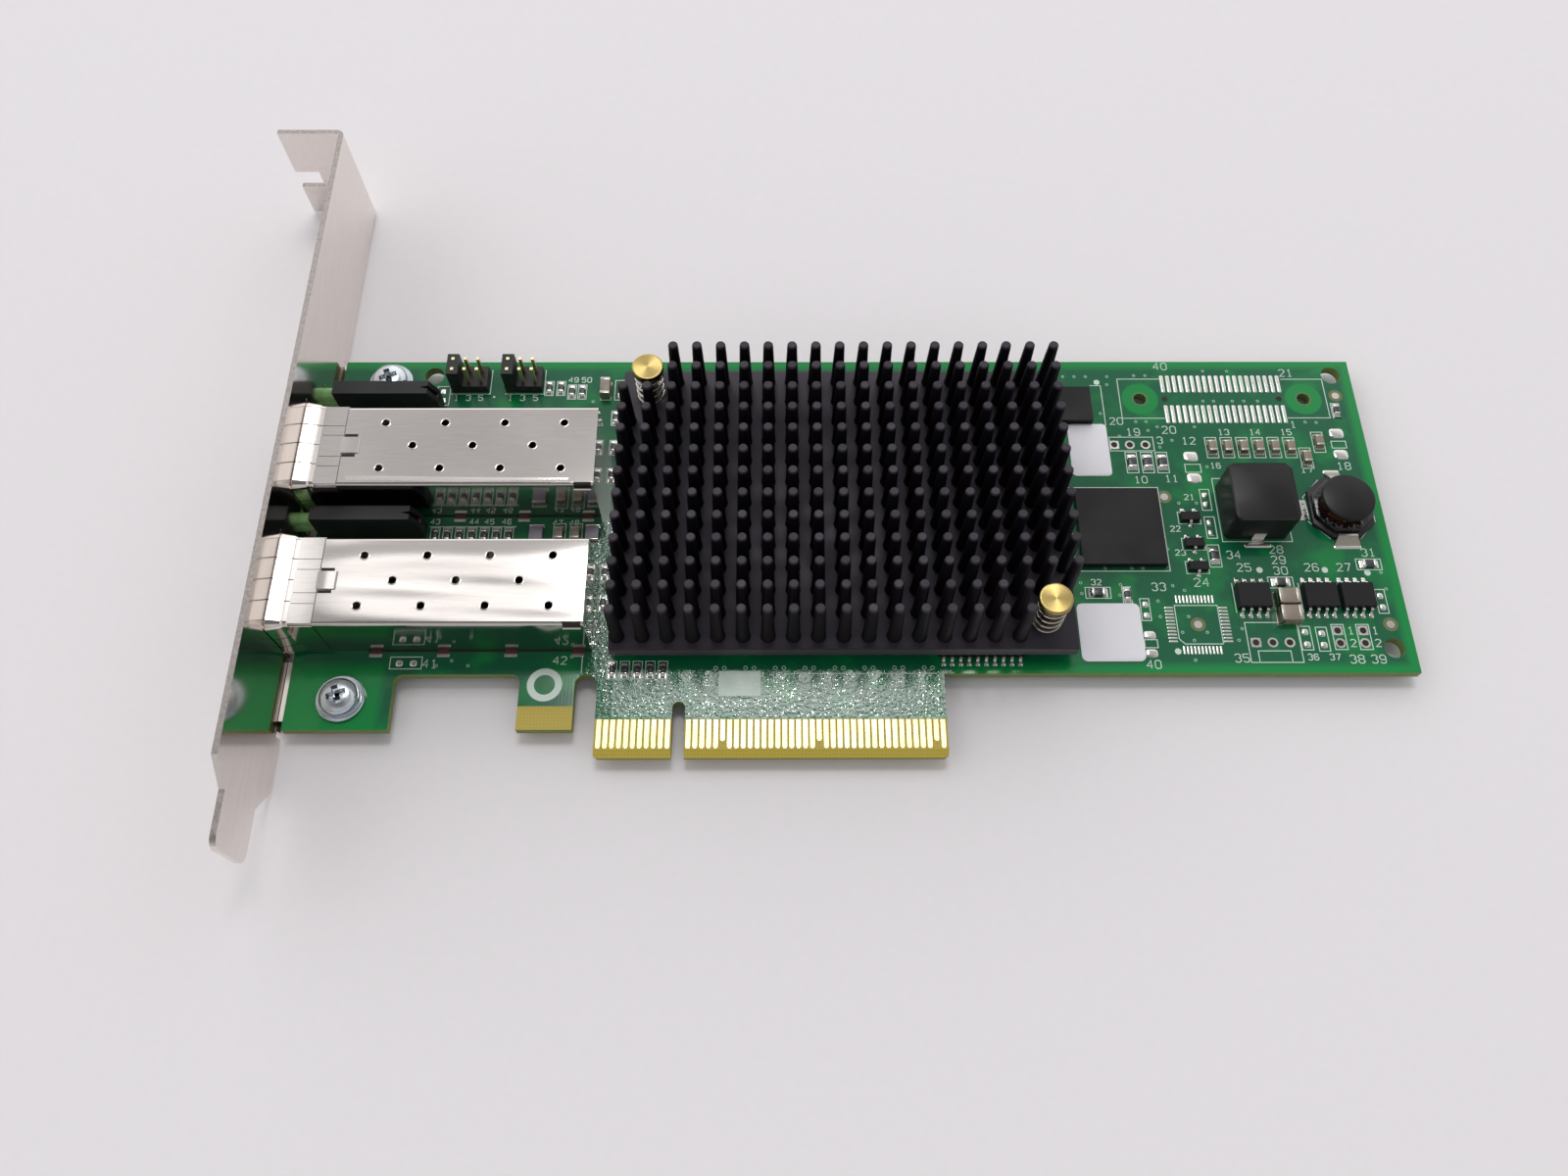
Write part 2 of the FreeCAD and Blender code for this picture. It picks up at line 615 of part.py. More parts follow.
def make_mounting_bracket():
    body = new_body("mounting_bracket", x=bracket_x)
    fold = new_sketch(body, "bracket_fold", "XY_Plane", bracket_low)
    draw_outline(fold, [
        (-d.sheet, -d.tongue_reach),
        (0, -d.tongue_reach),
        (0, d.screw_tab_y + d.sheet),
        (-d.screw_tab_reach, d.screw_tab_y + d.sheet),
        (-d.screw_tab_reach, d.screw_tab_y),
        (-d.sheet, d.screw_tab_y),
    ])
    strip = pad(body, fold, d.bracket_width)
    inside = round_edges(
        body, strip, d.bend_radius,
        lambda edge, at: close_to(at.x, -d.sheet) and close_to(at.y, d.screw_tab_y))
    round_edges(
        body, inside, d.bend_radius + d.sheet,
        lambda edge, at: close_to(at.x, 0) and close_to(at.y, d.screw_tab_y + d.sheet))

    middle = bracket_low + d.bracket_width / 2
    tongue = new_sketch(body, "tongue_taper", "YZ_Plane")
    for side in (-1, 1):
        edge = middle + d.bracket_width / 2 * side
        inner = middle + d.tongue_width / 2 * side
        draw_outline(tongue, [
            (-d.shoulder_y, edge),
            (-(d.shoulder_y + d.taper_run), inner),
            (-d.tongue_reach, inner),
            (-d.tongue_reach, edge),
        ])
    tapered = pocket(body, tongue)
    round_edges(
        body, tapered, d.tongue_round,
        lambda edge, at: close_to(at.y, -d.tongue_reach) and edge.BoundBox.XLength > 0.1)

    openings = new_sketch(body, "bracket_openings", "YZ_Plane")
    half = d.cage_width / 2 + d.window_gap
    for centre in cage_centres.values():
        draw_box(openings, centre - half, -d.window_gap / 2, centre + half, d.cage_height + d.window_gap)
        light = centre + d.light_offset
        reach = d.lens_width / 2 + d.lens_gap
        draw_box(openings, light - reach, d.lens_z - d.lens_gap,
                 light + reach, d.lens_z + d.lens_height + d.lens_gap)
    pocket(body, openings, d.sheet)

    notch = new_sketch(body, "screw_notch", "XZ_Plane", -d.screw_tab_y)
    draw_box(notch, -d.screw_tab_reach, d.screw_notch_z - d.screw_notch_width / 2,
             d.screw_notch_depth - d.screw_tab_reach, d.screw_notch_z + d.screw_notch_width / 2)
    pocket(body, notch, d.sheet)

    lugs = new_sketch(body, "board_lugs", "XY_Plane", bracket_low)
    reliefs = new_sketch(body, "bend_reliefs", "YZ_Plane")
    screw_holes = new_sketch(body, "screw_holes", "XY_Plane", bracket_low + d.sheet)
    for y in (d.screw_near, d.screw_far):
        low, high = y - d.lug_width / 2, y + d.lug_width / 2
        draw_box(lugs, 0, low, d.lug_reach, high)
        draw_box(reliefs, low - d.relief_width, bracket_low, low, bracket_low + d.relief_depth)
        draw_box(reliefs, high, bracket_low, high + d.relief_width, bracket_low + d.relief_depth)
        draw_hexagon(screw_holes, -d.screw_x - bracket_x, y, d.screw_radius + d.screw_clear)
    pad(body, lugs, d.sheet)
    pocket(body, reliefs, d.sheet)
    drilled = pocket(body, screw_holes, d.sheet)
    lug_middles = (d.screw_near, d.screw_far)
    bent = round_edges(
        body, drilled, d.bend_radius,
        lambda edge, at: close_to(at.x, 0) and close_to(at.z, bracket_low + d.sheet)
        and any(close_to(at.y, y) for y in lug_middles))
    round_edges(
        body, bent, d.sheet * 0.9,
        lambda edge, at: close_to(at.x, -d.sheet) and close_to(at.z, bracket_low)
        and any(close_to(at.y, y) for y in lug_middles))
    return body


def make_bracket_screws():
    body = new_body("bracket_screws", x=-d.screw_x)
    heads = new_sketch(body, "screw_heads", "XY_Plane")
    shanks = new_sketch(body, "screw_shanks", "XY_Plane")
    for y in (d.screw_near, d.screw_far):
        draw_circle(heads, 0, y, d.head_radius)
        draw_hexagon(shanks, 0, y, d.screw_radius)
    pad(body, heads, d.head_height)
    pad(body, shanks, d.board_thick + d.sheet, backwards=True)
    return body


# A port: its cage, its collar and the connector inside


def make_cage(label, y):
    body = new_body(label, x=-d.cage_rear, y=y)
    half = d.cage_width / 2
    outside = new_sketch(body, "cage_outside", "YZ_Plane")
    draw_box(outside, -half, 0, half, d.cage_height)
    shell = pad(body, outside, d.cage_length, backwards=True)
    bent = round_edges(
        body, shell, d.cage_round,
        lambda edge, at: close_to(at.z, d.cage_height) and edge.BoundBox.XLength > 1.0)
    inside = new_sketch(body, "cage_inside", "YZ_Plane", -d.cage_sheet)
    draw_box(inside, d.cage_sheet - half, d.cage_sheet, half - d.cage_sheet, d.cage_height - d.cage_sheet)
    pocket(body, inside, d.cage_length)

    vents = new_sketch(body, "cage_vents", "XY_Plane", d.cage_height)
    for row in (-1, 0, 1):
        inset = 0 if row else 0.5
        count = VENTS_IN_OUTER_ROWS if row else VENTS_IN_OUTER_ROWS - 1
        for step in range(count):
            distance = d.vent_first + d.vent_pitch * (step + inset)
            draw_hexagon(vents, -distance, d.vent_row * row, d.vent_radius)
    pocket(body, vents, d.cage_sheet * 2)

    floor = new_sketch(body, "cage_floor_cutout", "XY_Plane", d.cage_sheet)
    reach = d.socket_width / 2 + d.socket_clear
    draw_box(floor, -(d.socket_rear + d.socket_length + d.socket_clear), -reach,
             d.socket_clear - d.socket_rear, reach)
    pocket(body, floor, d.cage_sheet)

    legs = new_sketch(body, "cage_legs", "XY_Plane")
    for distance, side in leg_places():
        outer, inner = half * side, (half - d.cage_sheet) * side
        draw_box(legs, -distance - d.cage_leg_width / 2, inner, d.cage_leg_width / 2 - distance, outer)
    pad(body, legs, d.board_thick + d.leg_tail, backwards=True)
    return body


def make_collar(label, y):
    body = new_body(label, x=-d.cage_rear, y=y)
    stations = [
        (d.collar_rear, 0),
        (d.collar_rear + d.collar_band, 0),
        (d.collar_rear + d.collar_band + d.collar_rise, d.collar_bulge),
        (d.collar_rear + d.collar_band + d.collar_rise + d.collar_fall, d.collar_sheet / 2),
    ]
    sections = []
    for distance, bulge in stations:
        section = new_sketch(body, "collar_section", "YZ_Plane", -distance)
        side = d.cage_width / 2 + d.collar_clear + bulge
        top = d.cage_height + d.collar_clear + bulge
        draw_outline(section, [
            (-side - d.collar_sheet, d.collar_lift),
            (-side, d.collar_lift),
            (-side, top),
            (side, top),
            (side, d.collar_lift),
            (side + d.collar_sheet, d.collar_lift),
            (side + d.collar_sheet, top + d.collar_sheet),
            (-side - d.collar_sheet, top + d.collar_sheet),
        ])
        sections.append(section)
    hood = body.newObject("PartDesign::AdditiveLoft", "collar_hood")
    hood.Profile = sections[0]
    hood.Sections = sections[1:]
    hood.Ruled = True

    front = -stations[-1][0]
    fold = -stations[1][0]
    back = -stations[0][0]
    reach = d.collar_slit / 2
    top_slits = new_sketch(body, "collar_top_slits", "XY_Plane")
    for place_y in (-d.finger_width, 0, d.finger_width):
        draw_box(top_slits, front - d.collar_slit, place_y - reach, fold - d.collar_slit, place_y + reach)
    pocket(body, top_slits)

    latch = new_sketch(body, "collar_latch", "XY_Plane", d.cage_height + d.collar_clear)
    draw_box(latch, back, -d.latch_width / 2, back + d.latch_length, d.latch_width / 2)
    pad(body, latch, d.collar_sheet)
    return body


def make_port_connector(label, y):
    body = new_body(label, x=-(d.cage_rear + d.socket_rear), y=y)
    block = new_sketch(body, "connector_block", "YZ_Plane")
    draw_box(block, -d.socket_width / 2, 0, d.socket_width / 2, d.socket_height)
    pad(body, block, d.socket_length, backwards=True)
    slot = new_sketch(body, "connector_slot", "YZ_Plane", d.socket_slot_depth - d.socket_length)
    draw_box(slot, -d.socket_slot_width / 2, d.socket_slot_z,
             d.socket_slot_width / 2, d.socket_slot_z + d.socket_slot_height)
    pocket(body, slot, d.socket_slot_depth)
    return body


# Status lights


def make_light_holder(label, y):
    body = new_body(label, x=d.holder_front - d.board_left, y=y + d.light_offset)
    side = new_sketch(body, "holder_side", "XZ_Plane", -d.holder_width / 2)
    draw_outline(side, [
        (0, 0),
        (d.holder_length, 0),
        (d.holder_length, d.holder_height - d.holder_drop),
        (d.holder_length - d.holder_slope, d.holder_height),
        (0, d.holder_height),
    ])
    pad(body, side, d.holder_width)
    notch = new_sketch(body, "holder_notch", "XY_Plane", d.holder_height)
    draw_outline(notch, [
        (d.holder_length - d.holder_slope - d.holder_notch, 0),
        (d.holder_length, -d.notch_width / 2),
        (d.holder_length, d.notch_width / 2),
    ])
    pocket(body, notch, d.holder_drop)
    return body


def make_light_lens(label, y):
    length = d.holder_front + d.bracket_gap + d.sheet + d.lens_proud
    body = new_body(label, x=bracket_x - d.sheet - d.lens_proud, y=y + d.light_offset)
    face = new_sketch(body, "lens_face", "YZ_Plane")
    draw_box(face, -d.lens_width / 2, d.lens_z, d.lens_width / 2, d.lens_z + d.lens_height)
    pad(body, face, length)
    return body


# Jumper headers


def make_header(label, x):
    body = new_body(label, x=x, y=d.header_y)
    half_x = d.header_pitch * HEADER_COLUMNS / 2
    half_y = d.header_pitch * HEADER_ROWS / 2
    base = new_sketch(body, "header_base", "XY_Plane")
    draw_box(base, -half_x, -half_y, half_x, half_y)
    pad(body, base, d.header_height)
    return body


def make_header_pins():
    """The pins are drawn from the plastic up."""
    pins = []
    for side, centre in header_centres.items():
        for x, y in header_pin_places():
            pins.append(new_block(f"{side}_header_pin", centre + x, d.header_y + y, d.header_height,
                                  d.header_pin, d.header_pin, d.header_pin_top - d.header_height))
    return group("jumper_pins", pins)


def make_jumper_cap(label, x):
    """A cap over the outermost column of a header."""
    column = x - d.header_pitch * ((HEADER_COLUMNS - 1) / 2)
    body = new_body(label, x=column, y=d.header_y, z=d.header_height)
    half_x = d.header_pitch / 2 - d.cap_margin
    half_y = d.header_pitch * HEADER_ROWS / 2 - d.cap_margin
    block = new_sketch(body, "cap_block", "XY_Plane")
    draw_box(block, -half_x, -half_y, half_x, half_y)
    pad(body, block, d.cap_height)
    reach = d.header_pin / 2 + d.header_pin_clear
    wells = new_sketch(body, "cap_wells", "XY_Plane", d.cap_height)
    for row in range(HEADER_ROWS):
        y = d.header_pitch * (row - (HEADER_ROWS - 1) / 2)
        draw_box(wells, -reach, y - reach, reach, y + reach)
    pocket(body, wells, d.cap_height)
    return body


# The heat sink, its package and its push pins


def make_heat_sink():
    """One tapered fin, a row of it, a field of rows, two bare corners, then the base under them."""
    body = new_body("heat_sink", x=d.sink_x, y=d.sink_y, z=d.sink_floor)
    foot = new_sketch(body, "fin_foot", "XY_Plane", d.sink_base)
    draw_box(foot, -fin_half_x - d.fin_foot / 2, -fin_half_y - d.fin_foot / 2,
             d.fin_foot / 2 - fin_half_x, d.fin_foot / 2 - fin_half_y)
    fin = pad(body, foot, d.fin_height)
    doc.recompute()
    sides = []
    for number, face in enumerate(fin.Shape.Faces, 1):
        if face.BoundBox.ZLength > 1.0:
            sides.append(f"Face{number}")
        elif close_to(face.BoundBox.ZMin, d.sink_base):
            floor = f"Face{number}"
    taper = body.newObject("PartDesign::Draft", "fin_taper")
    taper.Base = (fin, sides)
    taper.NeutralPlane = (fin, [floor])
    bind(taper, "Angle", d.fin_taper)
    row = repeat(body, taper, foot, "H_Axis", FIN_COLUMNS, d.fin_pitch_x, whole=True)
    repeat(body, row, foot, "V_Axis", FIN_ROWS, d.fin_pitch_y, whole=True)

    corners = new_sketch(body, "bare_corners", "XY_Plane", d.sink_base + d.fin_height)
    deep_x = d.fin_pitch_x * (FINS_LEFT_OUT - 0.5) + d.sink_margin_x
    deep_y = d.fin_pitch_y * (FINS_LEFT_OUT - 0.5) + d.sink_margin_y
    draw_box(corners, -sink_half_x, sink_half_y - deep_y, deep_x - sink_half_x, sink_half_y)
    draw_box(corners, sink_half_x - deep_x, -sink_half_y, sink_half_x, deep_y - sink_half_y)
    pocket(body, corners, d.fin_height).Refine = False
    base = new_sketch(body, "sink_base", "XY_Plane")
    draw_box(base, -sink_half_x, -sink_half_y, sink_half_x, sink_half_y)
    draw_hexagon(base, -d.push_along, d.push_across, d.push_hole)
    draw_hexagon(base, d.push_along, -d.push_across, d.push_hole)
    pad(body, base, d.sink_base).Refine = False
    return body


def make_controller_package():
    top = d.sink_floor - d.pad_thick
    body = new_body("controller_chip", x=d.sink_x, y=d.sink_y)
    half = d.package_side / 2
    substrate = new_sketch(body, "package_substrate", "XY_Plane")
    draw_box(substrate, -half, -half, half, half)
    pad(body, substrate, d.package_base)
    lid = new_sketch(body, "package_lid", "XY_Plane", d.package_base)
    draw_box(lid, -d.pad_side / 2, -d.pad_side / 2, d.pad_side / 2, d.pad_side / 2)
    pad(body, lid, top - d.package_base)
    new_block("thermal_pad", d.sink_x, d.sink_y, top, d.pad_side, d.pad_side, d.pad_thick)
    return body


def make_push_pin(label, x, y):
    """A round head on a shaft that ends in a barb and a point under the board."""
    body = new_body(label, x=x, y=y)
    shaft = d.push_hole - d.push_clear
    seat = -d.board_thick
    under_head = d.push_top - d.push_head_thick
    levels = (
        ("push_pin_point", seat - d.push_tail, shaft * 0.7, d.push_tail - d.push_barb_height),
        ("push_pin_barb", seat - d.push_barb_height, d.push_barb, d.push_barb_height),
        ("push_pin_shaft", seat, shaft, under_head - seat),
    )
    for name, z, radius, height in levels:
        ring = new_sketch(body, name, "XY_Plane", z)
        draw_hexagon(ring, 0, 0, radius)
        pad(body, ring, height)
    disc = new_sketch(body, "push_pin_head", "XY_Plane", under_head)
    draw_circle(disc, 0, 0, d.push_head)
    pad(body, disc, d.push_head_thick)
    return body


def make_spring(label, x, y):
    """A coil of square wire between the heat sink's base and a push pin's head."""
    wire = d.spring_wire.value
    low = sink_top.value + wire
    high = d.push_top.value - d.push_head_thick.value - wire
    steps = SPRING_TURNS * SPRING_SEGMENTS
    path = []
    for step in range(steps + 1):
        turn = math.tau * step / SPRING_SEGMENTS
        path.append(FreeCAD.Vector(d.spring_radius.value * math.cos(turn),
                                   d.spring_radius.value * math.sin(turn),
                                   low + (high - low) * step / steps))
    section = Part.makePlane(wire, wire, FreeCAD.Vector(-wire / 2, -wire / 2, 0)).OuterWire
    section.Placement = FreeCAD.Placement(path[0], FreeCAD.Rotation(
        FreeCAD.Vector(0, 0, 1), path[1] - path[0]))
    sweep = Part.BRepOffsetAPI.MakePipeShell(Part.makePolygon(path))
    sweep.setTransitionMode(1)
    sweep.add(section, False, False)
    sweep.build()
    sweep.makeSolid()
    spring = doc.addObject("Part::Feature", label)
    spring.Label = label
    spring.Shape = sweep.shape()
    place(spring, x, y)
    return spring


# Packages with leads


def spread(count, pitch):
    return [pitch * (step - (count - 1) / 2) for step in range(count)]


def make_power_packages():
    """Three eight-lead packages in a row near the free end, with their leads."""
    places = (86.9, 97.1, 102.7)
    bodies = [new_block("power_package", x, d.power_y, 0, d.outline_width, d.outline_depth,
                        d.outline_height) for x in places]
    group("power_packages", bodies)
    leads = []
    for x in places:
        for at in spread(4, d.lead_pitch):
            for side in (-1, 1):
                middle = d.power_y + (d.outline_depth + d.lead_reach) / 2 * side
                leads.append(new_block("power_package_lead", x + at, middle, 0,
                                       d.lead_width, d.lead_reach, d.lead_height))
    group("power_package_leads", leads)


def make_small_packages():
    """The long package under the front of the heat sink, and three small transistors."""
    new_block("driver_package", d.driver_x, d.driver_y, 0, d.driver_width, d.outline_depth,
              d.outline_height)
    places = (39.0, 34.35, 30.3)
    bodies = [new_block("small_transistor", d.trio_x, y, 0, d.trio_width, d.trio_depth,
                        d.trio_height) for y in places]
    group("small_transistors", bodies)


# The two inductors


def make_square_inductor():
    body = new_body("square_inductor", x=d.choke_x, y=d.choke_y)
    half = d.choke_side / 2
    block = new_sketch(body, "inductor_block", "XY_Plane")
    draw_octagon(block, half, half - d.choke_corner)
    top = pad(body, block, d.choke_height)
    doc.recompute()
    rim = body.newObject("PartDesign::Chamfer", "inductor_rim")
    rim.Base = (top, [f"Edge{number}" for number, edge in enumerate(top.Shape.Edges, 1)
                      if close_to(edge.CenterOfMass.z, d.choke_height)])
    bind(rim, "Size", d.choke_rim)
    middle = d.choke_side / 2 + d.clip_reach / 2
    clips = [
        new_block("side_clip", d.choke_x + middle, d.choke_y, 0, d.clip_reach, d.clip_width,
                  d.choke_height * 0.3),
        new_block("front_clip", d.choke_x, d.choke_y - middle, 0, d.clip_width, d.clip_reach,
                  d.choke_height * 0.3),
    ]
    group("square_inductor_clips", clips)


def make_drum_inductor():
    base = new_body("drum_inductor_base", x=d.drum_x, y=d.drum_y)
    plate = new_sketch(base, "drum_base_plate", "XY_Plane")
    draw_octagon(plate, d.drum_foot, d.drum_foot * math.tan(math.tau / 16))
    pad(base, plate, d.drum_base)

    low, high = d.drum_base + d.drum_flange, d.drum_height - d.drum_flange
    post = d.drum_waist / 2
    core = new_body("drum_inductor_core", x=d.drum_x, y=d.drum_y)
    lower = new_sketch(core, "lower_flange", "XY_Plane", d.drum_base)
    skirt = (d.drum_foot + d.drum_radius) / 2
    draw_octagon(lower, skirt, skirt * math.tan(math.tau / 16))
    pad(core, lower, d.drum_flange)
    waist = new_sketch(core, "drum_waist", "XY_Plane", low)
    draw_box(waist, -post, -post, post, post)
    pad(core, waist, high - low)
    upper = new_sketch(core, "upper_flange", "XY_Plane", high)
    draw_circle(upper, 0, 0, d.drum_radius)
    pad(core, upper, d.drum_flange)

    winding = new_body("drum_inductor_winding", x=d.drum_x, y=d.drum_y, z=low)
    ring = new_sketch(winding, "winding_ring", "XY_Plane")
    draw_circle(ring, 0, 0, d.winding_radius)
    draw_box(ring, -post, -post, post, post)
    pad(winding, ring, high - low)


# Chip capacitors, resistors and ferrite beads


def make_chip_components():
    """Chips placed by their middle; the last word says which way their length runs."""
    capacitors = [(84.9 + 2.54 * step, 52.0, "y") for step in range(6)]
    capacitors += [(102.4, 53.0, "y"), (99.9, 50.0, "y"), (-19.6, 36.2, "y"), (-17.0, 36.2, "y")]
    resistors = [(71.6, 49.2, "y"), (74.1, 49.2, "y"), (76.5, 49.2, "y"), (82.3, 32.3, "y"),
                 (63.5, 26.0, "x"), (91.8, 27.7, "x"), (106.0, 30.8, "x")]
    small = [(-39.0 + 1.92 * step, 36.0, "y") for step in range(7)]
    small += [(-10.1 + 1.89 * step, 12.95 + 0.5, "y") for step in range(5)]
    small += [(-23.3, 63.6, "y"), (-21.35, 63.6, "y"), (-19.5, 62.9, "y"), (-17.8, 62.9, "y"),
              (67.9, 25.6, "y"), (106.5, 59.1, "y"), (-12.0, 57.75, "y"), (-12.0, 52.1, "y"),
              (-12.1, 46.85, "y"), (-12.1, 29.6, "y"), (-12.1, 24.4, "y")]
    blocks = [(92.0, 24.75, "x"), (91.9, 21.9, "x"), (-13.85, 63.0, "y")]
    beads = [(-23.15, 36.2, "y"), (-14.4, 36.2, "y")]
    kinds = (
        ("chip_capacitors", capacitors, d.chip_length, d.chip_width, d.cap_chip_height),
        ("chip_resistors", resistors, d.chip_length, d.chip_width, d.resistor_height),
        ("small_chips", small, d.small_length, d.small_width, d.resistor_height),
        ("large_capacitors", blocks, d.block_length, d.block_width, d.block_height),
        ("ferrite_beads", beads, d.bead_length, d.bead_width, d.bead_height),
    )
    for label, places, length, width, height in kinds:
        members = []
        for x, y, along in places:
            size_x, size_y = (length, width) if along == "x" else (width, length)
            members.append(new_block(f"{label}_one", x, y, 0, size_x, size_y, height))
        group(label, members)


# Build everything

make_circuit_board()
make_edge_contacts()
make_mounting_bracket()
make_bracket_screws()
for port, centre in cage_centres.items():
    make_cage(f"{port}_port_cage", centre)
    make_collar(f"{port}_port_collar", centre)
    make_port_connector(f"{port}_port_connector", centre)
    make_light_holder(f"{port}_light_holder", centre)
    make_light_lens(f"{port}_light_lens", centre)
for side, centre in header_centres.items():
    make_header(f"{side}_jumper_header", centre)
    make_jumper_cap(f"{side}_jumper_cap", centre)
make_header_pins()
make_heat_sink()
make_controller_package()
for side, (x, y) in push_places.items():
    make_push_pin(f"{side}_push_pin", x, y)
    make_spring(f"{side}_push_spring", x, y)
new_block("memory_chip", d.memory_x, d.memory_y, 0, d.memory_width, d.memory_depth, d.memory_height)
new_block("flash_chip", d.flash_x, d.flash_y, 0, d.flash_width, d.flash_depth, d.flash_height)
make_power_packages()
make_small_packages()
make_square_inductor()
make_drum_inductor()
make_chip_components()
doc.recompute()


def check_document():
    """Stop if a feature failed, a cut removed nothing or a solid isn't whole."""
    for thing in doc.Objects:
        if {"Invalid", "Error"} & set(thing.State):
            raise RuntimeError(f"{thing.Name} failed: {thing.State}")
        if thing.isDerivedFrom("PartDesign::Pocket"):
            if thing.Shape.Volume > thing.BaseFeature.Shape.Volume - 1e-6:
                raise RuntimeError(f"{thing.Name} cuts nothing")


def sub_parts():
    """The pieces that aren't members of a body or a group."""
    members = {member for thing in doc.Objects for member in getattr(thing, "Links", [])}
    kinds = ("PartDesign::Body", "Part::Box", "Part::Compound", "Part::Feature")
    return [thing for thing in doc.Objects if thing.TypeId in kinds and thing not in members]


def write_parts():
    os.makedirs("parts", exist_ok=True)
    pieces = sub_parts()
    for piece in pieces:
        if piece.Shape.isNull() or not piece.Shape.isValid():
            raise RuntimeError(f"{piece.Label} isn't a valid shape")
    for piece in pieces:
        piece.Shape.exportStep(f"parts/{piece.Label}.step")


check_document()
write_parts()
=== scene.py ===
"""Looks of a two-port optical adapter card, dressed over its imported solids.

The file is laid out as an add-on and run as a script. main() registers the classes and calls
the operators in order. Lengths in the code are millimetres in the card's own frame: X runs along
the board, Y away from the connector's tip, Z up from the component face.
"""

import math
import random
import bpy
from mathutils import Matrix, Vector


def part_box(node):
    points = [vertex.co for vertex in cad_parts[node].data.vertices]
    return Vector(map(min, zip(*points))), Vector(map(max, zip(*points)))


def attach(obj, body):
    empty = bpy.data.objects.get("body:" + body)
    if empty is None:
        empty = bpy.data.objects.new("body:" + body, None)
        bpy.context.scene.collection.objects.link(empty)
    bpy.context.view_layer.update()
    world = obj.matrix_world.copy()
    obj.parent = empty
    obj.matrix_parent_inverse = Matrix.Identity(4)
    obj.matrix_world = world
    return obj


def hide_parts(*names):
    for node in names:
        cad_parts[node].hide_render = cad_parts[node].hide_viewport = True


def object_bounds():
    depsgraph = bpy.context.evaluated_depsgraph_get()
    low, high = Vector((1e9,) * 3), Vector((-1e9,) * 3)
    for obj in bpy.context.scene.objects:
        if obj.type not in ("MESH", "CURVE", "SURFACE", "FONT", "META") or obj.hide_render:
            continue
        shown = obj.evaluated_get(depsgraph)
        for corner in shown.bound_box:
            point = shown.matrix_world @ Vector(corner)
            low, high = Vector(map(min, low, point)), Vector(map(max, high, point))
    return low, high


bl_info = {
    "name": "Optical adapter card",
    "version": (1, 0, 0),
    "blender": (4, 5, 0),
    "location": "View3D > Sidebar > Adapter card",
    "description": "Dresses the solids of a two-port optical adapter card and lights it",
    "category": "Object",
}

import bmesh
import bpy
from bpy.props import FloatProperty, FloatVectorProperty, IntProperty, PointerProperty
from mathutils import Matrix, Vector

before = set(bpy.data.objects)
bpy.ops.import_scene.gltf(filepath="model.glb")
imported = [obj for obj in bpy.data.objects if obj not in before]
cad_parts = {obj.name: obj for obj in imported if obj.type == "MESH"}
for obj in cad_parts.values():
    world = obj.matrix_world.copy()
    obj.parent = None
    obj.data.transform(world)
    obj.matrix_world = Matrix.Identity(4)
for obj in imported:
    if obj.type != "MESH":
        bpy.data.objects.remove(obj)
CAD_LOW, CAD_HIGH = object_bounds()
MM = 0.001
MICRON = 1e-6
ALONG_X, ALONG_Y, ALONG_Z = (1, 0, 0), (0, 1, 0), (0, 0, 1)


def linear(code):
    """Turns an sRGB hex colour into linear red, green, blue and a full alpha."""
    parts = [int(code[i : i + 2], 16) / 255 for i in (1, 3, 5)]
    return tuple(c / 12.92 if c <= 0.04045 else ((c + 0.055) / 1.055) ** 2.4 for c in parts) + (1.0,)


def tint(name, code, words):
    """A colour that a user may change."""
    return FloatVectorProperty(
        name=name, description=words, default=linear(code), size=4, min=0.0, max=1.0, subtype="COLOR"
    )


def span(name, millimetres, words):
    """A length that a user may change."""
    return FloatProperty(
        name=name, description=words, default=millimetres * MM, min=0.0, subtype="DISTANCE", unit="LENGTH"
    )


class CardColours(bpy.types.PropertyGroup):
    """Colours of the card's finishes."""

    mask: tint("Solder mask", "#0a8640", "Green mask over bare laminate")
    mask_copper: tint("Mask over copper", "#0e5e3d", "Green mask where copper lies under it")
    laminate: tint("Laminate", "#b39f3c", "Bare woven glass laminate at the connector")
    laminate_edge: tint("Laminate edge", "#858b4c", "Sawn edge of the laminate")
    print_white: tint("Print", "#d9e4dc", "Printed lines and numerals on the board")
    gold: tint("Gold plating", "#e3daa8", "Plated contacts and header pins")
    steel: tint("Bracket steel", "#f0e8e2", "Nickel-plated steel of the bracket")
    nickel: tint("Cage sheet", "#d0cac7", "Rolled nickel silver of the port cages")
    zinc: tint("Screw zinc", "#dadfe4", "Zinc-plated screws and washers")
    brass: tint("Turned brass", "#b5a067", "Push pins")
    spring: tint("Spring steel", "#c8c4bd", "Springs under the push pins")
    anodised: tint("Black anodised", "#242027", "Pin-fin heat sink")
    black_plastic: tint("Black plastic", "#121014", "Light holders, headers and jumper caps")
    lens: tint("Light lens", "#8cc77a", "Tinted lens of a port light")
    epoxy: tint("Chip epoxy", "#0d0c10", "Moulded chip packages")
    tin: tint("Tinned metal", "#e4e2de", "Leads, pads and chip ends")
    ferrite: tint("Ferrite", "#0e0d0f", "Inductor bodies")
    bead: tint("Bead", "#86818d", "Bodies of the two ferrite beads")
    copper: tint("Enamelled copper", "#b8693a", "Winding of the drum inductor")
    tan: tint("Tan ceramic", "#84786a", "Bodies of the capacitors")
    dark: tint("Dark ceramic", "#25262b", "Bodies of the resistors")
    pad_grey: tint("Thermal pad", "#8d8f92", "Pad under the heat sink")
    label: tint("Label", "#e6e4ea", "Plain film labels")
    floor: tint("Floor", "#e9e5e8", "Pale paper under the card")


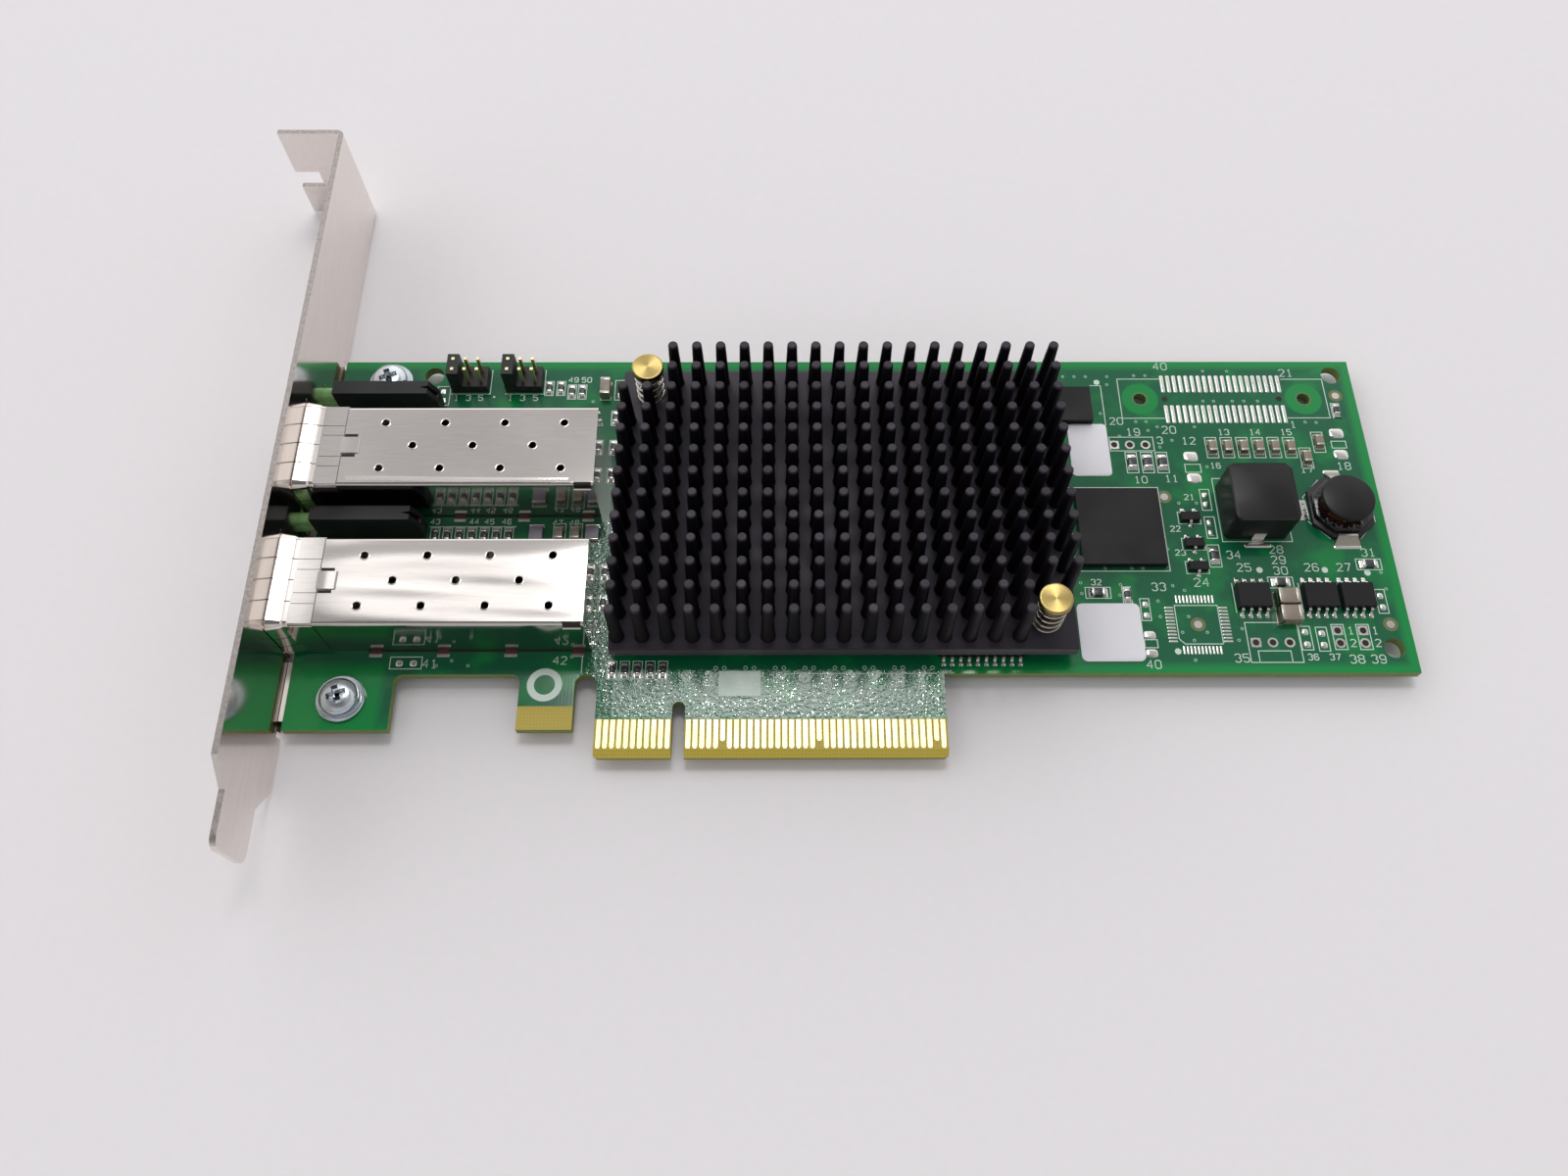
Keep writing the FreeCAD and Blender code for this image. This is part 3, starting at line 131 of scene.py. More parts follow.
class CardSizes(bpy.types.PropertyGroup):
    """Sizes of the details that the scene adds."""

    fin_foot: span("Fin foot", 2.1, "Diameter of a pin fin at its foot")
    fin_tip: span("Fin tip", 1.45, "Diameter of a pin fin at its tip")
    fin_pitch_x: span("Fin pitch along", 3.69, "Pin fin to pin fin along the board")
    fin_pitch_y: span("Fin pitch across", 3.73, "Pin fin to pin fin across the board")
    fin_columns: IntProperty(name="Fin columns", description="Pin fins along the board", default=19, min=1)
    fin_rows: IntProperty(name="Fin rows", description="Pin fins across the board", default=13, min=1)
    washer: span("Washer", 7.15, "Outer diameter of a screw's washer")
    line: span("Printed line", 0.14, "Width of a printed line on the board")
    pad_height: span("Pad height", 0.11, "Height of a domed, tinned pad above the mask")
    spring_wire: span("Spring wire", 0.42, "Diameter of the push pin springs' wire")
    spring_turns: FloatProperty(name="Spring turns", description="Turns of a push pin spring", default=5.0, min=1.0)


def colours():
    return bpy.context.scene.card_colours


def sizes():
    return bpy.context.scene.card_sizes


def mm(length):
    """A length of the scene, in millimetres."""
    return length / MM


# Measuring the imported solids


def box_of(node):
    """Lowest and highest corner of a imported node, in millimetres."""
    return [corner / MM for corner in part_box(node)]


def corner_boxes(node):
    """Lowest and highest corner, in millimetres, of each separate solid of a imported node."""
    mesh = bmesh.new()
    mesh.from_mesh(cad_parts[node].data)
    bmesh.ops.remove_doubles(mesh, verts=mesh.verts, dist=MICRON)
    boxes, seen = [], set()
    for first in mesh.verts:
        if first in seen:
            continue
        seen.add(first)
        open_ends, island = [first], []
        while open_ends:
            vert = open_ends.pop()
            island.append(vert.co / MM)
            others = {edge.other_vert(vert) for edge in vert.link_edges} - seen
            seen |= others
            open_ends += others
        boxes.append([Vector([pick(p[i] for p in island) for i in range(3)]) for pick in (min, max)])
    mesh.free()
    return boxes


# Building meshes


def circle(x, y, radius, height, segments):
    """Points round an upright axis; a radius of nothing gives one point."""
    turns = [2 * math.pi * i / segments for i in range(segments if radius > 0 else 1)]
    return [(x + radius * math.cos(t), y + radius * math.sin(t), height) for t in turns]


def rounded(x0, x1, y0, y1, radius, steps=5):
    """Outline of a rectangle with round corners."""
    corners = [(x1 - radius, y1 - radius, 0), (x0 + radius, y1 - radius, 90),
               (x0 + radius, y0 + radius, 180), (x1 - radius, y0 + radius, 270)]
    outline = []
    for x, y, first in corners:
        turns = [math.radians(first + 90 * k / steps) for k in range(steps + 1)]
        outline += [(x + radius * math.cos(t), y + radius * math.sin(t)) for t in turns]
    return outline


class Form:
    """A mesh in the making, in millimetres. Each face carries the number of its finish."""

    def __init__(self):
        self.mesh = bmesh.new()

    def ring(self, points):
        """New corners, one at each point."""
        return [self.mesh.verts.new(point) for point in points]

    def face(self, corners, finish):
        face = self.mesh.faces.new(corners)
        face.material_index = finish
        return face

    def skin(self, rings, finish):
        """Faces between rings of corners; a ring may be a single point."""
        for below, above in zip(rings, rings[1:]):
            count = max(len(below), len(above))
            for i in range(count):
                j = (i + 1) % count
                corners = [ring[k % len(ring)] for ring, k in ((below, i), (below, j), (above, j), (above, i))]
                self.face(list(dict.fromkeys(corners)), finish)

    def round_off(self, edges, width, steps=2):
        bmesh.ops.bevel(
            self.mesh, geom=list(edges), offset=width, segments=steps, profile=0.5,
            affect="EDGES", clamp_overlap=True, material=-1,
        )

    def block(self, low, high, finish=0, edge=0.0, steps=2):
        """A block between two corners, its edges rounded by edge."""
        low, high = Vector(low), Vector(high)
        size = high - low
        matrix = Matrix.Translation((low + high) / 2) @ Matrix.Diagonal((*size, 1.0))
        verts = bmesh.ops.create_cube(self.mesh, size=1.0, matrix=matrix)["verts"]
        for face in {face for vert in verts for face in vert.link_faces}:
            face.material_index = finish
        if edge > 0:
            most = min(size) * 0.45
            self.round_off({rim for vert in verts for rim in vert.link_edges}, min(edge, most), steps)

    def prism(self, outline, low, high, finish=0, edge=0.0):
        """A flat outline in X and Y, drawn up from low to high, its top edge rounded by edge."""
        bottom, top = (self.ring([(x, y, z) for x, y in outline]) for z in (low, high))
        lid = self.face(top, finish)
        self.face(bottom[::-1], finish)
        self.skin([bottom, top], finish)
        if edge > 0:
            self.round_off(lid.edges, edge)

    def patch(self, outline, height, finish=0):
        """A flat face with no thickness, seen from above."""
        self.face(self.ring([(x, y, height) for x, y in outline]), finish)

    def disc(self, x, y, outer, height, finish=0, inner=0.0, segments=16):
        """A flat disc or ring seen from above."""
        rim = self.ring(circle(x, y, outer, height, segments))
        if inner > 0:
            self.skin([rim, self.ring(circle(x, y, inner, height, segments))], finish)
        else:
            self.face(rim, finish)

    def ribbon(self, points, width, height, finish=0, closed=False):
        """A flat line of even width through a row of points, seen from above."""
        points = [Vector(p) for p in points]
        steps = [(b - a).normalized() for a, b in zip(points, points[1:] + points[:1])]
        if not closed:
            steps[-1] = steps[-2]
        left, right = [], []
        for i, (point, away) in enumerate(zip(points, steps)):
            into = steps[i - 1] if i or closed else away
            middle = into + away
            middle = middle.normalized() if middle.length > 1e-6 else into
            side = Vector((-middle.y, middle.x)) * (width / 2 / max(0.5, middle.dot(away)))
            left += self.ring([(*(point + side), height)])
            right += self.ring([(*(point - side), height)])
        for i in range(len(points) if closed else len(points) - 1):
            j = (i + 1) % len(points)
            self.face((right[i], right[j], left[j], left[i]), finish)

    def turned(self, x, y, profile, finish=0, segments=32):
        """A form turned about an upright axis, from (radius, height) pairs. A list gives each step its finish."""
        kinds = finish if isinstance(finish, list) else [finish] * len(profile)
        rings = [self.ring(circle(x, y, radius, height, segments)) for radius, height in profile]
        for below, above, kind in zip(rings, rings[1:], kinds):
            self.skin([below, above], kind)

    def pillow(self, x, y, width, depth, height, finish=0):
        """A domed pad of solder on the board, with round corners."""
        least = min(width, depth) / 2
        rings = []
        for share, rise in ((1.0, 0.0), (0.9, 0.5), (0.66, 0.85), (0.3, 1.0)):
            half_x, half_y = width / 2 - least * (1 - share), depth / 2 - least * (1 - share)
            outline = rounded(x - half_x, x + half_x, y - half_y, y + half_y, min(half_x, half_y) * 0.6, 2)
            rings.append(self.ring([(px, py, height * rise) for px, py in outline]))
        self.skin(rings, finish)
        self.face(rings[-1], finish)

    def section(self, rows, finish=0):
        """A skin over cross-sections, shut at both ends."""
        rings = [self.ring(row) for row in rows]
        self.skin(rings, finish)
        self.face(rings[0][::-1], finish)
        self.face(rings[-1], finish)

    def wire(self, points, radius, finish=0, sides=8):
        """A round wire along a row of points."""
        points = [Vector(p) for p in points]
        turns = [2 * math.pi * k / sides for k in range(sides)]
        rows, side = [], None
        for before, point, after in zip(points[:1] + points, points, points[1:] + points[-1:]):
            ahead = (after - before).normalized()
            side = side or ahead.orthogonal().normalized()
            side = (side - ahead * side.dot(ahead)).normalized()
            over = ahead.cross(side)
            rows.append([point + side * radius * math.cos(t) + over * radius * math.sin(t) for t in turns])
        self.section(rows, finish)

    def strap(self, points, across, width, thick, finish=0):
        """A flat strip of sheet bent along a row of points. Across is the direction of its width."""
        points = [Vector(p) for p in points]
        across = Vector(across).normalized()
        steps = [(b - a).normalized() for a, b in zip(points, points[1:])]
        rows = []
        for point, before, after in zip(points, steps[:1] + steps, steps + steps[-1:]):
            middle = (before + after).normalized()
            up = middle.cross(across) * (thick / 2 / max(0.35, middle.dot(after)))
            out = across * (width / 2)
            rows.append([point - out - up, point + out - up, point + out + up, point - out + up])
        self.section(rows, finish)

    def piece(self, name, finishes, slot=None, stands_for=(), angle=35.0):
        """Ends the mesh as one object in metres that rides with the card. Finishes are names in a row."""
        mesh = self.mesh
        bmesh.ops.recalc_face_normals(mesh, faces=mesh.faces)
        bmesh.ops.scale(mesh, vec=(MM, MM, MM), verts=mesh.verts)
        data = bpy.data.meshes.new(name)
        mesh.to_mesh(data)
        mesh.free()
        for kind in finishes.split():
            data.materials.append(finish(kind))
        data.shade_smooth()
        data.set_sharp_from_angle(angle=math.radians(angle))
        made = bpy.data.objects.new(name, data)
        bpy.context.scene.collection.objects.link(made)
        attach(made, "root")
        if stands_for:
            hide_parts(*stands_for)
        return made


def dress(kind, *nodes):
    """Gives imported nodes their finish."""
    for node in nodes:
        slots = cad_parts[node].data.materials
        slots.clear()
        slots.append(finish(kind))


# Finishes

MATH, RANGE, MIX = "ShaderNodeMath", "ShaderNodeMapRange", "ShaderNodeMix"
NOISE, BUMP = "ShaderNodeTexNoise", "ShaderNodeBump"
PRINCIPLED = "Principled BSDF"
# A range takes a value (socket 0), the ends of its ramp (1 and 2) and what it gives there (3 and 4). A mix takes
# a share (0) and two numbers or two colours, and has an output of its own for a colour.
NUMBER_A, NUMBER_B, COLOUR_A, COLOUR_B, COLOUR_OUT = 2, 3, 6, 7, 2
EVEN = (1, 1, 1)


def add(tree, kind, inputs=None, out=0, **settings):
    """Adds a node and gives one output. Settings are its fields, inputs its sockets, each a value or a link."""
    node = tree.nodes.new(kind)
    for name, value in settings.items():
        setattr(node, name, value)
    for key, value in (inputs or {}).items():
        if isinstance(value, bpy.types.NodeSocket):
            tree.links.new(value, node.inputs[key])
        else:
            node.inputs[key].default_value = value
    return node.outputs[out] if node.outputs else None


def start(name):
    """An empty material, its node tree and the card's own coordinates in metres."""
    material = bpy.data.materials.new(name)
    material.use_nodes = True
    tree = material.node_tree
    tree.nodes.clear()
    return material, tree, add(tree, "ShaderNodeTexCoord", out="Object")


def grained(name, base, other, metallic, roughness, spread, grain, stretch=EVEN, height=0.0,
            wave=4.0, wave_height=0.0, drift=EVEN, **shader):
    """A finish with a grain of its own: grain and wave are sizes in millimetres, heights in micrometres."""
    material, tree, where = start(name)
    fine = add(tree, "ShaderNodeMapping", {"Vector": where, "Scale": stretch})
    specks = add(tree, NOISE, {"Vector": fine, "Scale": 1 / (grain * MM), "Detail": 4.0})
    broad = add(tree, "ShaderNodeMapping", {"Vector": where, "Scale": drift})
    slow = add(tree, NOISE, {"Vector": broad, "Scale": 1 / (wave * MM), "Detail": 0.0})
    shade = add(tree, MIX, {0: specks, COLOUR_A: base, COLOUR_B: other}, COLOUR_OUT, data_type="RGBA")
    gloss = add(tree, RANGE, {0: slow, 1: 0.3, 2: 0.7, 3: max(0.02, roughness - spread), 4: roughness + spread})
    inputs = {"Base Color": shade, "Metallic": metallic, "Roughness": gloss, **shader}
    for relief, depth in ((slow, wave_height), (specks, height)):
        if depth > 0:
            under = {"Normal": inputs["Normal"]} if "Normal" in inputs else {}
            inputs["Normal"] = add(tree, BUMP, {
                "Height": relief, "Strength": 1.0, "Distance": depth * MICRON, **under})
    add(tree, "ShaderNodeOutputMaterial", {"Surface": add(tree, "ShaderNodeBsdfPrincipled", inputs)})
    return material


def sheared(material):
    """Turns a sheet's upward-facing faces a rougher, mottled grey."""
    tree = material.node_tree
    surface = tree.nodes[PRINCIPLED]
    up = add(tree, "ShaderNodeSeparateXYZ", {0: add(tree, "ShaderNodeNewGeometry", out="True Normal")}, 2)
    edge = add(tree, RANGE, {0: up, 1: 0.6, 2: 0.9})
    where = add(tree, "ShaderNodeTexCoord", out="Object")
    mottle = add(tree, NOISE, {"Vector": where, "Scale": 1 / (0.5 * MM), "Detail": 2.0})
    grey = add(tree, MIX, {0: mottle, COLOUR_A: linear("#6f6966"), COLOUR_B: linear("#b5aeaa")}, COLOUR_OUT,
               data_type="RGBA")
    for socket, value, kind, first, out in (
        ("Base Color", grey, "RGBA", COLOUR_A, COLOUR_OUT), ("Roughness", 0.5, "FLOAT", NUMBER_A, 0),
    ):
        face = surface.inputs[socket].links[0].from_socket
        mixed = add(tree, MIX, {0: edge, first: face, first + 1: value}, out, data_type=kind)
        tree.links.new(mixed, surface.inputs[socket])


def lathe_rings(material):
    """Runs the tool's rings round the axis, so the light spreads along the radius."""
    tree = material.node_tree
    rings = add(tree, "ShaderNodeTangent", direction_type="RADIAL", axis="Z")
    tree.links.new(rings, tree.nodes[PRINCIPLED].inputs["Tangent"])


def masked_laminate():
    """The board: mask on its faces, bare laminate at the connector, sawn edges and drilled walls."""
    # Woven glass laminate under a printed and cured green mask: a wet gloss, deep green over copper and
    # clearer beside it, a dull olive weave where the mask stops, and streaky yellow-green sawn edges.
    c = colours()
    material, tree, where = start("masked_glass_laminate")
    x, y, _ = add(tree, "ShaderNodeSeparateXYZ", {0: where}).node.outputs
    up = add(tree, "ShaderNodeSeparateXYZ", {0: add(tree, "ShaderNodeNewGeometry", out="Normal")}, 2)
    level = add(tree, MATH, {0: up}, operation="ABSOLUTE")
    flat = add(tree, MATH, {0: level, 1: 0.9}, operation="GREATER_THAN")

    def overlap(ramps, share=1.0):
        """A share that holds where all ramps have risen, each given as a place, a start and an end in metres."""
        for place, first, last in ramps:
            rise = add(tree, RANGE, {0: place, 1: first, 2: last})
            share = add(tree, MATH, {0: share, 1: rise}, operation="MULTIPLY")
        return share

    # The mask stops behind the retention tab's tip, and nearer the edge on the connector.
    tab_left, tab_limit, connector_left, connector_step = -0.0245, 0.0078, -0.0135, -0.0020
    on_connector = add(tree, MATH, {0: x, 1: connector_left}, operation="GREATER_THAN")
    limit = add(tree, MATH, {0: on_connector, 1: connector_step, 2: tab_limit}, operation="MULTIPLY_ADD")
    below = add(tree, MATH, {0: y, 1: limit}, operation="LESS_THAN")
    right = add(tree, MATH, {0: x, 1: tab_left}, operation="GREATER_THAN")
    bare = add(tree, MATH, {0: below, 1: right}, operation="MULTIPLY")
    # Copper pours under the mask, a few millimetres across, drawn as soft blotches. Copper stops short
    # of the board's edges, of the screw ear and of the peg holes.
    pours = add(tree, NOISE, {"Vector": where, "Scale": 1 / (7 * MM), "Detail": 3.0})
    clear = add(tree, RANGE, {0: pours, 1: 0.50, 2: 0.68, 3: 0.0, 4: 0.75})
    margins = [
        [(x, 0.1080, 0.1092)], [(y, 0.0670, 0.0681), (x, -0.0600, -0.0590)],
        [(y, 0.0148, 0.0136), (x, 0.0400, 0.0410)], [(y, 0.0152, 0.0136), (x, -0.0430, -0.0445)],
    ]
    for peg_x, peg_y in PEG_HOLES:
        peg = (peg_x * MM, peg_y * MM, 0.0)
        away = add(tree, "ShaderNodeVectorMath", {0: where, 1: peg}, 1, operation="DISTANCE")
        margins.append([(away, 0.0031, 0.0029)])
    for ramps in margins:
        clear = add(tree, MATH, {0: clear, 1: overlap(ramps)}, operation="MAXIMUM")
    # The glass cloth has about 0.5 mm between its threads.
    weave = {"Vector": where, "Scale": 0.314 / (0.5 * MM), "Distortion": 0.4}
    warp, weft = (add(tree, "ShaderNodeTexWave", weave, 1, bands_direction=way) for way in ("X", "Y"))
    cloth = add(tree, MATH, {0: warp, 1: weft}, operation="MULTIPLY")
    streaks = add(tree, "ShaderNodeMapping", {"Vector": where, "Scale": (0.15, 0.15, 1.0)})
    layers = add(tree, NOISE, {"Vector": streaks, "Scale": 1 / (0.25 * MM)})
    green, olive, sawn = (
        add(tree, MIX, {0: share, COLOUR_A: first, COLOUR_B: second}, COLOUR_OUT, data_type="RGBA")
        for share, first, second in (
            (clear, c.mask_copper, c.mask), (cloth, c.laminate, linear("#c2ad45")),
            (layers, linear("#5a6e36"), c.laminate_edge)))
    faces = add(tree, MIX, {0: bare, COLOUR_A: green, COLOUR_B: olive}, COLOUR_OUT, data_type="RGBA")
    shade = add(tree, MIX, {0: flat, COLOUR_A: sawn, COLOUR_B: faces}, COLOUR_OUT, data_type="RGBA")
    # Close traces and via rings lift the mask near the connector and left of the heat sink, so it glitters there.
    behind = overlap([(y, 0.0160, 0.0146), (x, -0.0155, -0.0125), (x, 0.0430, 0.0400)], 0.36)
    beside = overlap([(y, 0.0390, 0.0340), (x, -0.0150, -0.0140), (x, -0.0092, -0.0100)])
    crowd = add(tree, MATH, {0: behind, 1: beside}, operation="MAXIMUM")
    relief = add(tree, NOISE, {"Vector": where, "Scale": 1 / (0.6 * MM), "Detail": 3.0})
    lift = add(tree, RANGE, {0: crowd, 3: 0.02, 4: 1.0})
    raised = add(tree, BUMP, {"Height": relief, "Strength": lift, "Distance": 120 * MICRON})
    threads = add(tree, BUMP, {"Height": cloth, "Strength": 0.25, "Distance": 6 * MICRON, "Normal": raised})
    wet, matte, rough = 0.13, 0.5, 0.65
    dull = add(tree, MIX, {0: bare, NUMBER_A: wet, NUMBER_B: matte}, data_type="FLOAT")
    gloss = add(tree, MIX, {0: flat, NUMBER_A: rough, NUMBER_B: dull}, data_type="FLOAT")
    surface = add(tree, "ShaderNodeBsdfPrincipled", {
        "Base Color": shade, "Roughness": gloss, "IOR": 1.5, "Normal": threads})
    add(tree, "ShaderNodeOutputMaterial", {"Surface": surface})
    return material


# Each finish: its material, its colour (a property's name or a code) and a second one, metallic, roughness
# and how much that varies, the grain's size, and the rest of what grained() takes. The real grain of plating,
# sheet, filler and ink is too fine to show in the render, so it is drawn as coarse as it needs to show.
SHEET = dict(stretch=(1, 0.12, 1), height=1.0, wave=14.0, wave_height=12.0)
KINDS = {
    # Hard gold over nickel, plated: a smooth pale yellow mirror with faint wipe marks along the contact.
    "gold": ("hard_gold_plating", "gold", "#d8cd96", 1.0, 0.35, 0.03, 0.8, dict(stretch=(4, 0.6, 1), height=0.3)),
    # Tin-plated copper and reflowed solder: bright, slightly lumpy.
    "tin": ("reflowed_tin", "tin", "#cccac6", 1.0, 0.2, 0.06, 0.5, dict(height=12.0)),
    # Nickel-plated steel sheet, rolled and bent: a near mirror with faint lines along the sheet.
    "steel": ("nickel_plated_steel", "steel", "#e2dad5", 1.0, 0.13, 0.03, 0.7, SHEET),
    # The same sheet, cut to the bracket's size: near mirror faces, with a rougher, mottled grey on those facing up.
    "bracket": ("nickel_plated_steel_grey_upper_faces", "steel", "#e2dad5", 1.0, 0.13, 0.03, 0.7, SHEET),
    # The same sheet, scuffed by the press at a bend: a milky sheen.
    "bent_steel": ("scuffed_nickel_plated_steel", "steel", "#e2dad5", 1.0, 0.55, 0.05, 0.5, dict(height=6.0)),
    # Nickel silver sheet, rolled and stamped: fine grain along the cage and a satin sheen.
    "nickel": ("rolled_nickel_silver", "nickel", "#c4beba", 1.0, 0.11, 0.02, 0.35,
               dict(stretch=(0.12, 1, 1), height=0.6, wave=13.0, wave_height=25.0)),
    # The same sheet, pressed unevenly: long waves along the cage that bend the light into bands.
    "wavy_nickel": ("pressed_nickel_silver", "nickel", "#c4beba", 1.0, 0.11, 0.02, 0.35,
                    dict(stretch=(0.12, 1, 1), height=0.6, wave=5.0, wave_height=200.0, drift=(0.15, 1, 1))),
    # Zinc plating on steel, bright-dipped: cool silver with cloudy patches.
    "zinc": ("bright_zinc_plating", "zinc", "#b9c2cc", 1.0, 0.2, 0.08, 0.6, dict(height=3.0)),
    # Brass turned and faced on a lathe: rings that pull the light into a fan.
    "brass": ("turned_brass", "brass", "#a8935c", 1.0, 0.3, 0.03, 0.4, dict(height=1.0, Anisotropic=0.85)),
    # Spring steel wire, drawn: smooth and bright.
    "spring": ("drawn_spring_steel", "spring", "#a09c94", 1.0, 0.22, 0.06, 0.5, dict(height=2.0)),
    # Aluminium, extruded, cross-cut and black anodised: a dry, even black with a powdery tooth.
    "anodised": ("black_anodised_aluminium", "anodised", "#2d2930", 0.0, 0.5, 0.08, 0.35,
                 {"height": 10.0, "IOR": 1.45, "Specular Tint": linear("#e4dbe8")}),
    # The same metal on the fins' flanks, painted a deeper, drier black: painted shade on the flanks, while the tips
    # keep the plain black.
    "fin": ("black_anodised_painted_shade_flank", "#0c090e", "#120e15", 0.0, 0.5, 0.08, 0.35,
            {"height": 10.0, "IOR": 1.3, "Specular Tint": linear("#e4dbe8")}),
    # The same metal on the base's upright sides, painted a greyer black: painted light from the pale floor in front.
    "sawn": ("anodised_side_painted_bounce_light", "#3c373f", "#464149", 0.0, 0.5, 0.08, 0.35, dict(height=10.0, IOR=1.45)),
    # Glass-filled nylon, moulded: satin black with a pebbled grain.
    "plastic": ("moulded_black_nylon", "black_plastic", "#1c191e", 0.0, 0.45, 0.08, 0.3, dict(height=8.0, IOR=1.42)),
    # Epoxy moulding compound: matte charcoal with fine filler specks.
    "epoxy": ("moulded_chip_epoxy", "epoxy", "#141317", 0.0, 0.5, 0.06, 0.22,
              {"height": 6.0, "IOR": 1.5, "Specular IOR Level": 0.25}),
    # Pressed iron powder, lacquered: charcoal with a soft gloss.
    "ferrite": ("lacquered_ferrite", "ferrite", "#161417", 0.0, 0.36, 0.06, 0.3, dict(height=7.0, IOR=1.35)),
    # Ferrite under a baked grey coat: a flat lilac grey.
    "bead": ("coated_bead_ferrite", "bead", "#7b7682", 0.0, 0.5, 0.06, 0.25, dict(height=5.0, IOR=1.55)),
    # Insulating varnish over the drum's wire ends, brushed on: wet, lumpy black.
    "varnish": ("brushed_black_varnish", "#0f0e10", "#1a181b", 0.0, 0.12, 0.04, 0.9, dict(height=60.0, IOR=1.52)),
    # Soldering flux baked round the cages' feet: a red-brown glaze.
    "flux": ("baked_flux", "#5d3626", "#3b2418", 0.0, 0.35, 0.08, 0.4, dict(height=10.0, IOR=1.5)),
    # Copper wire under clear enamel: deep orange with a wet gloss.
    "copper": ("enamelled_copper_wire", "copper", "#8f4d28", 1.0, 0.25, 0.06, 0.6, dict(height=2.0)),
    # Barium titanate ceramic, fired: a dull tan.
    "tan": ("fired_tan_ceramic", "tan", "#7c7063", 0.0, 0.45, 0.06, 0.25, dict(height=5.0, IOR=1.6)),
    # Alumina with a dark glass overcoat: smooth near-black.
    "dark": ("glazed_resistor_ceramic", "dark", "#33353b", 0.0, 0.35, 0.06, 0.3, dict(height=4.0, IOR=1.55)),
    # Filled silicone pad, calendered: soft grey.
    "pad": ("filled_silicone_pad", "pad_grey", "#7c7e82", 0.0, 0.7, 0.05, 0.4, dict(height=12.0, IOR=1.43)),
    # Polyester film label with a matte topcoat: white with a faint tooth.
    "label": ("matte_polyester_film", "label", "#e2e0e6", 0.0, 0.5, 0.05, 0.5, dict(height=2.0, IOR=1.5)),
    # Screen-printed epoxy ink: thin chalky white over the mask.
    "print": ("screen_printed_ink", "print_white", "#b9cfc0", 0.0, 0.36, 0.05, 0.2, dict(height=4.0, IOR=1.5)),
    # Drilled laminate seen down a hole: dark brown, partly the wall's own colour and partly painted shade. It also
    # paints the shade in openings and creases.
    "bore": ("laminate_brown_painted_shade", "#17130c", "#2a2212", 0.0, 0.7, 0.05, 0.2, dict(height=5.0, IOR=1.45)),
    # Bare laminate in the mask's window round a marking pad: a dull brown green.
    "ring": ("mask_opening_laminate", "#6d6a3c", "#5b6a3a", 0.0, 0.45, 0.05, 0.3, dict(height=4.0, IOR=1.5)),
    # Plated rings under thin mask: a milky pale green, partly the rings' own colour and partly a painted highlight.
    "via": ("masked_plated_ring_painted_highlight", "#a3cbb2", "#8fbba0", 0.0, 0.3, 0.04, 0.3, dict(height=3.0, IOR=1.5)),
    # Fired tin ends with little solder on them: a dull warm grey.
    "dull_tin": ("fired_tin_end", "#bcb5ab", "#9a9288", 1.0, 0.36, 0.06, 0.4, dict(height=14.0)),
    # Cast acrylic, tinted: clear green that glows where light crosses it.
    "lens": ("tinted_cast_acrylic", "lens", "#a6d996", 0.0, 0.12, 0.04, 1.0,
             {"height": 3.0, "IOR": 1.49, "Transmission Weight": 0.3, "Subsurface Weight": 0.3,
              "Subsurface Scale": 0.001}),
    # Matte paper: an even pale grey with a faint tooth.
    "paper": ("matte_paper", "floor", "#e5e1e4", 0.0, 0.8, 0.04, 1.5, dict(IOR=1.4)),
}
# What some finishes get once they are made.
AFTERWARDS = {"bracket": sheared, "brass": lathe_rings}
FINISHES = {}


def finish(name):
    """One of the card's finishes, made the first time it is asked for."""
    if name not in FINISHES:
        if name == "board":
            FINISHES[name] = masked_laminate()
        else:
            material, base, other, *numbers, rest = KINDS[name]
            base = linear(base) if base.startswith("#") else getattr(colours(), base)
            FINISHES[name] = grained(material, base, linear(other), *numbers, **rest)
        if name in AFTERWARDS:
            AFTERWARDS[name](FINISHES[name])
    return FINISHES[name]


# Pieces


def chip_with_ends(form, low, high, cap, reach):
    """A ceramic chip (finish 0) between two tinned ends (finish 1), soldered to its pads."""
    metal, pad_height, pad_margin = 1, 0.03, 0.08
    along = 0 if high.x - low.x > high.y - low.y else 1
    across = 1 - along
    inset = Vector((0.02, 0.02, 0.02))
    inset[along] = cap * 0.5
    form.block(low + inset, high - inset, 0, 0.04)
    middle, width = (low[across] + high[across]) / 2, high[across] - low[across]
    direction = Vector((0, 0, 0))
    direction[across] = 1
    for end, out in ((low[along], -1), (high[along], 1)):
        inner, toe = end - out * cap, end + out * reach
        a, b = Vector(low), Vector(high)
        a[along], b[along] = min(end, inner), max(end, inner)
        form.block(a, b, metal, 0.07)
        # The fillet climbs from the pad to half of the chip's height.
        rise = (high.z - low.z) * 0.55
        line = []
        for run, height in ((toe, pad_height), (end + out * reach * 0.35, 0.12), (end - out * 0.02, rise)):
            spot = Vector((0, 0, height))
            spot[along], spot[across] = run, middle
            line.append(spot)
        form.strap(line, direction, width * 0.92, 0.06, metal)
        a[along], b[along] = min(toe, inner), max(toe, inner)
        a[across] -= pad_margin
        b[across] += pad_margin
        a.z, b.z = 0.0, pad_height
        form.block(a, b, metal, 0.01, 1)


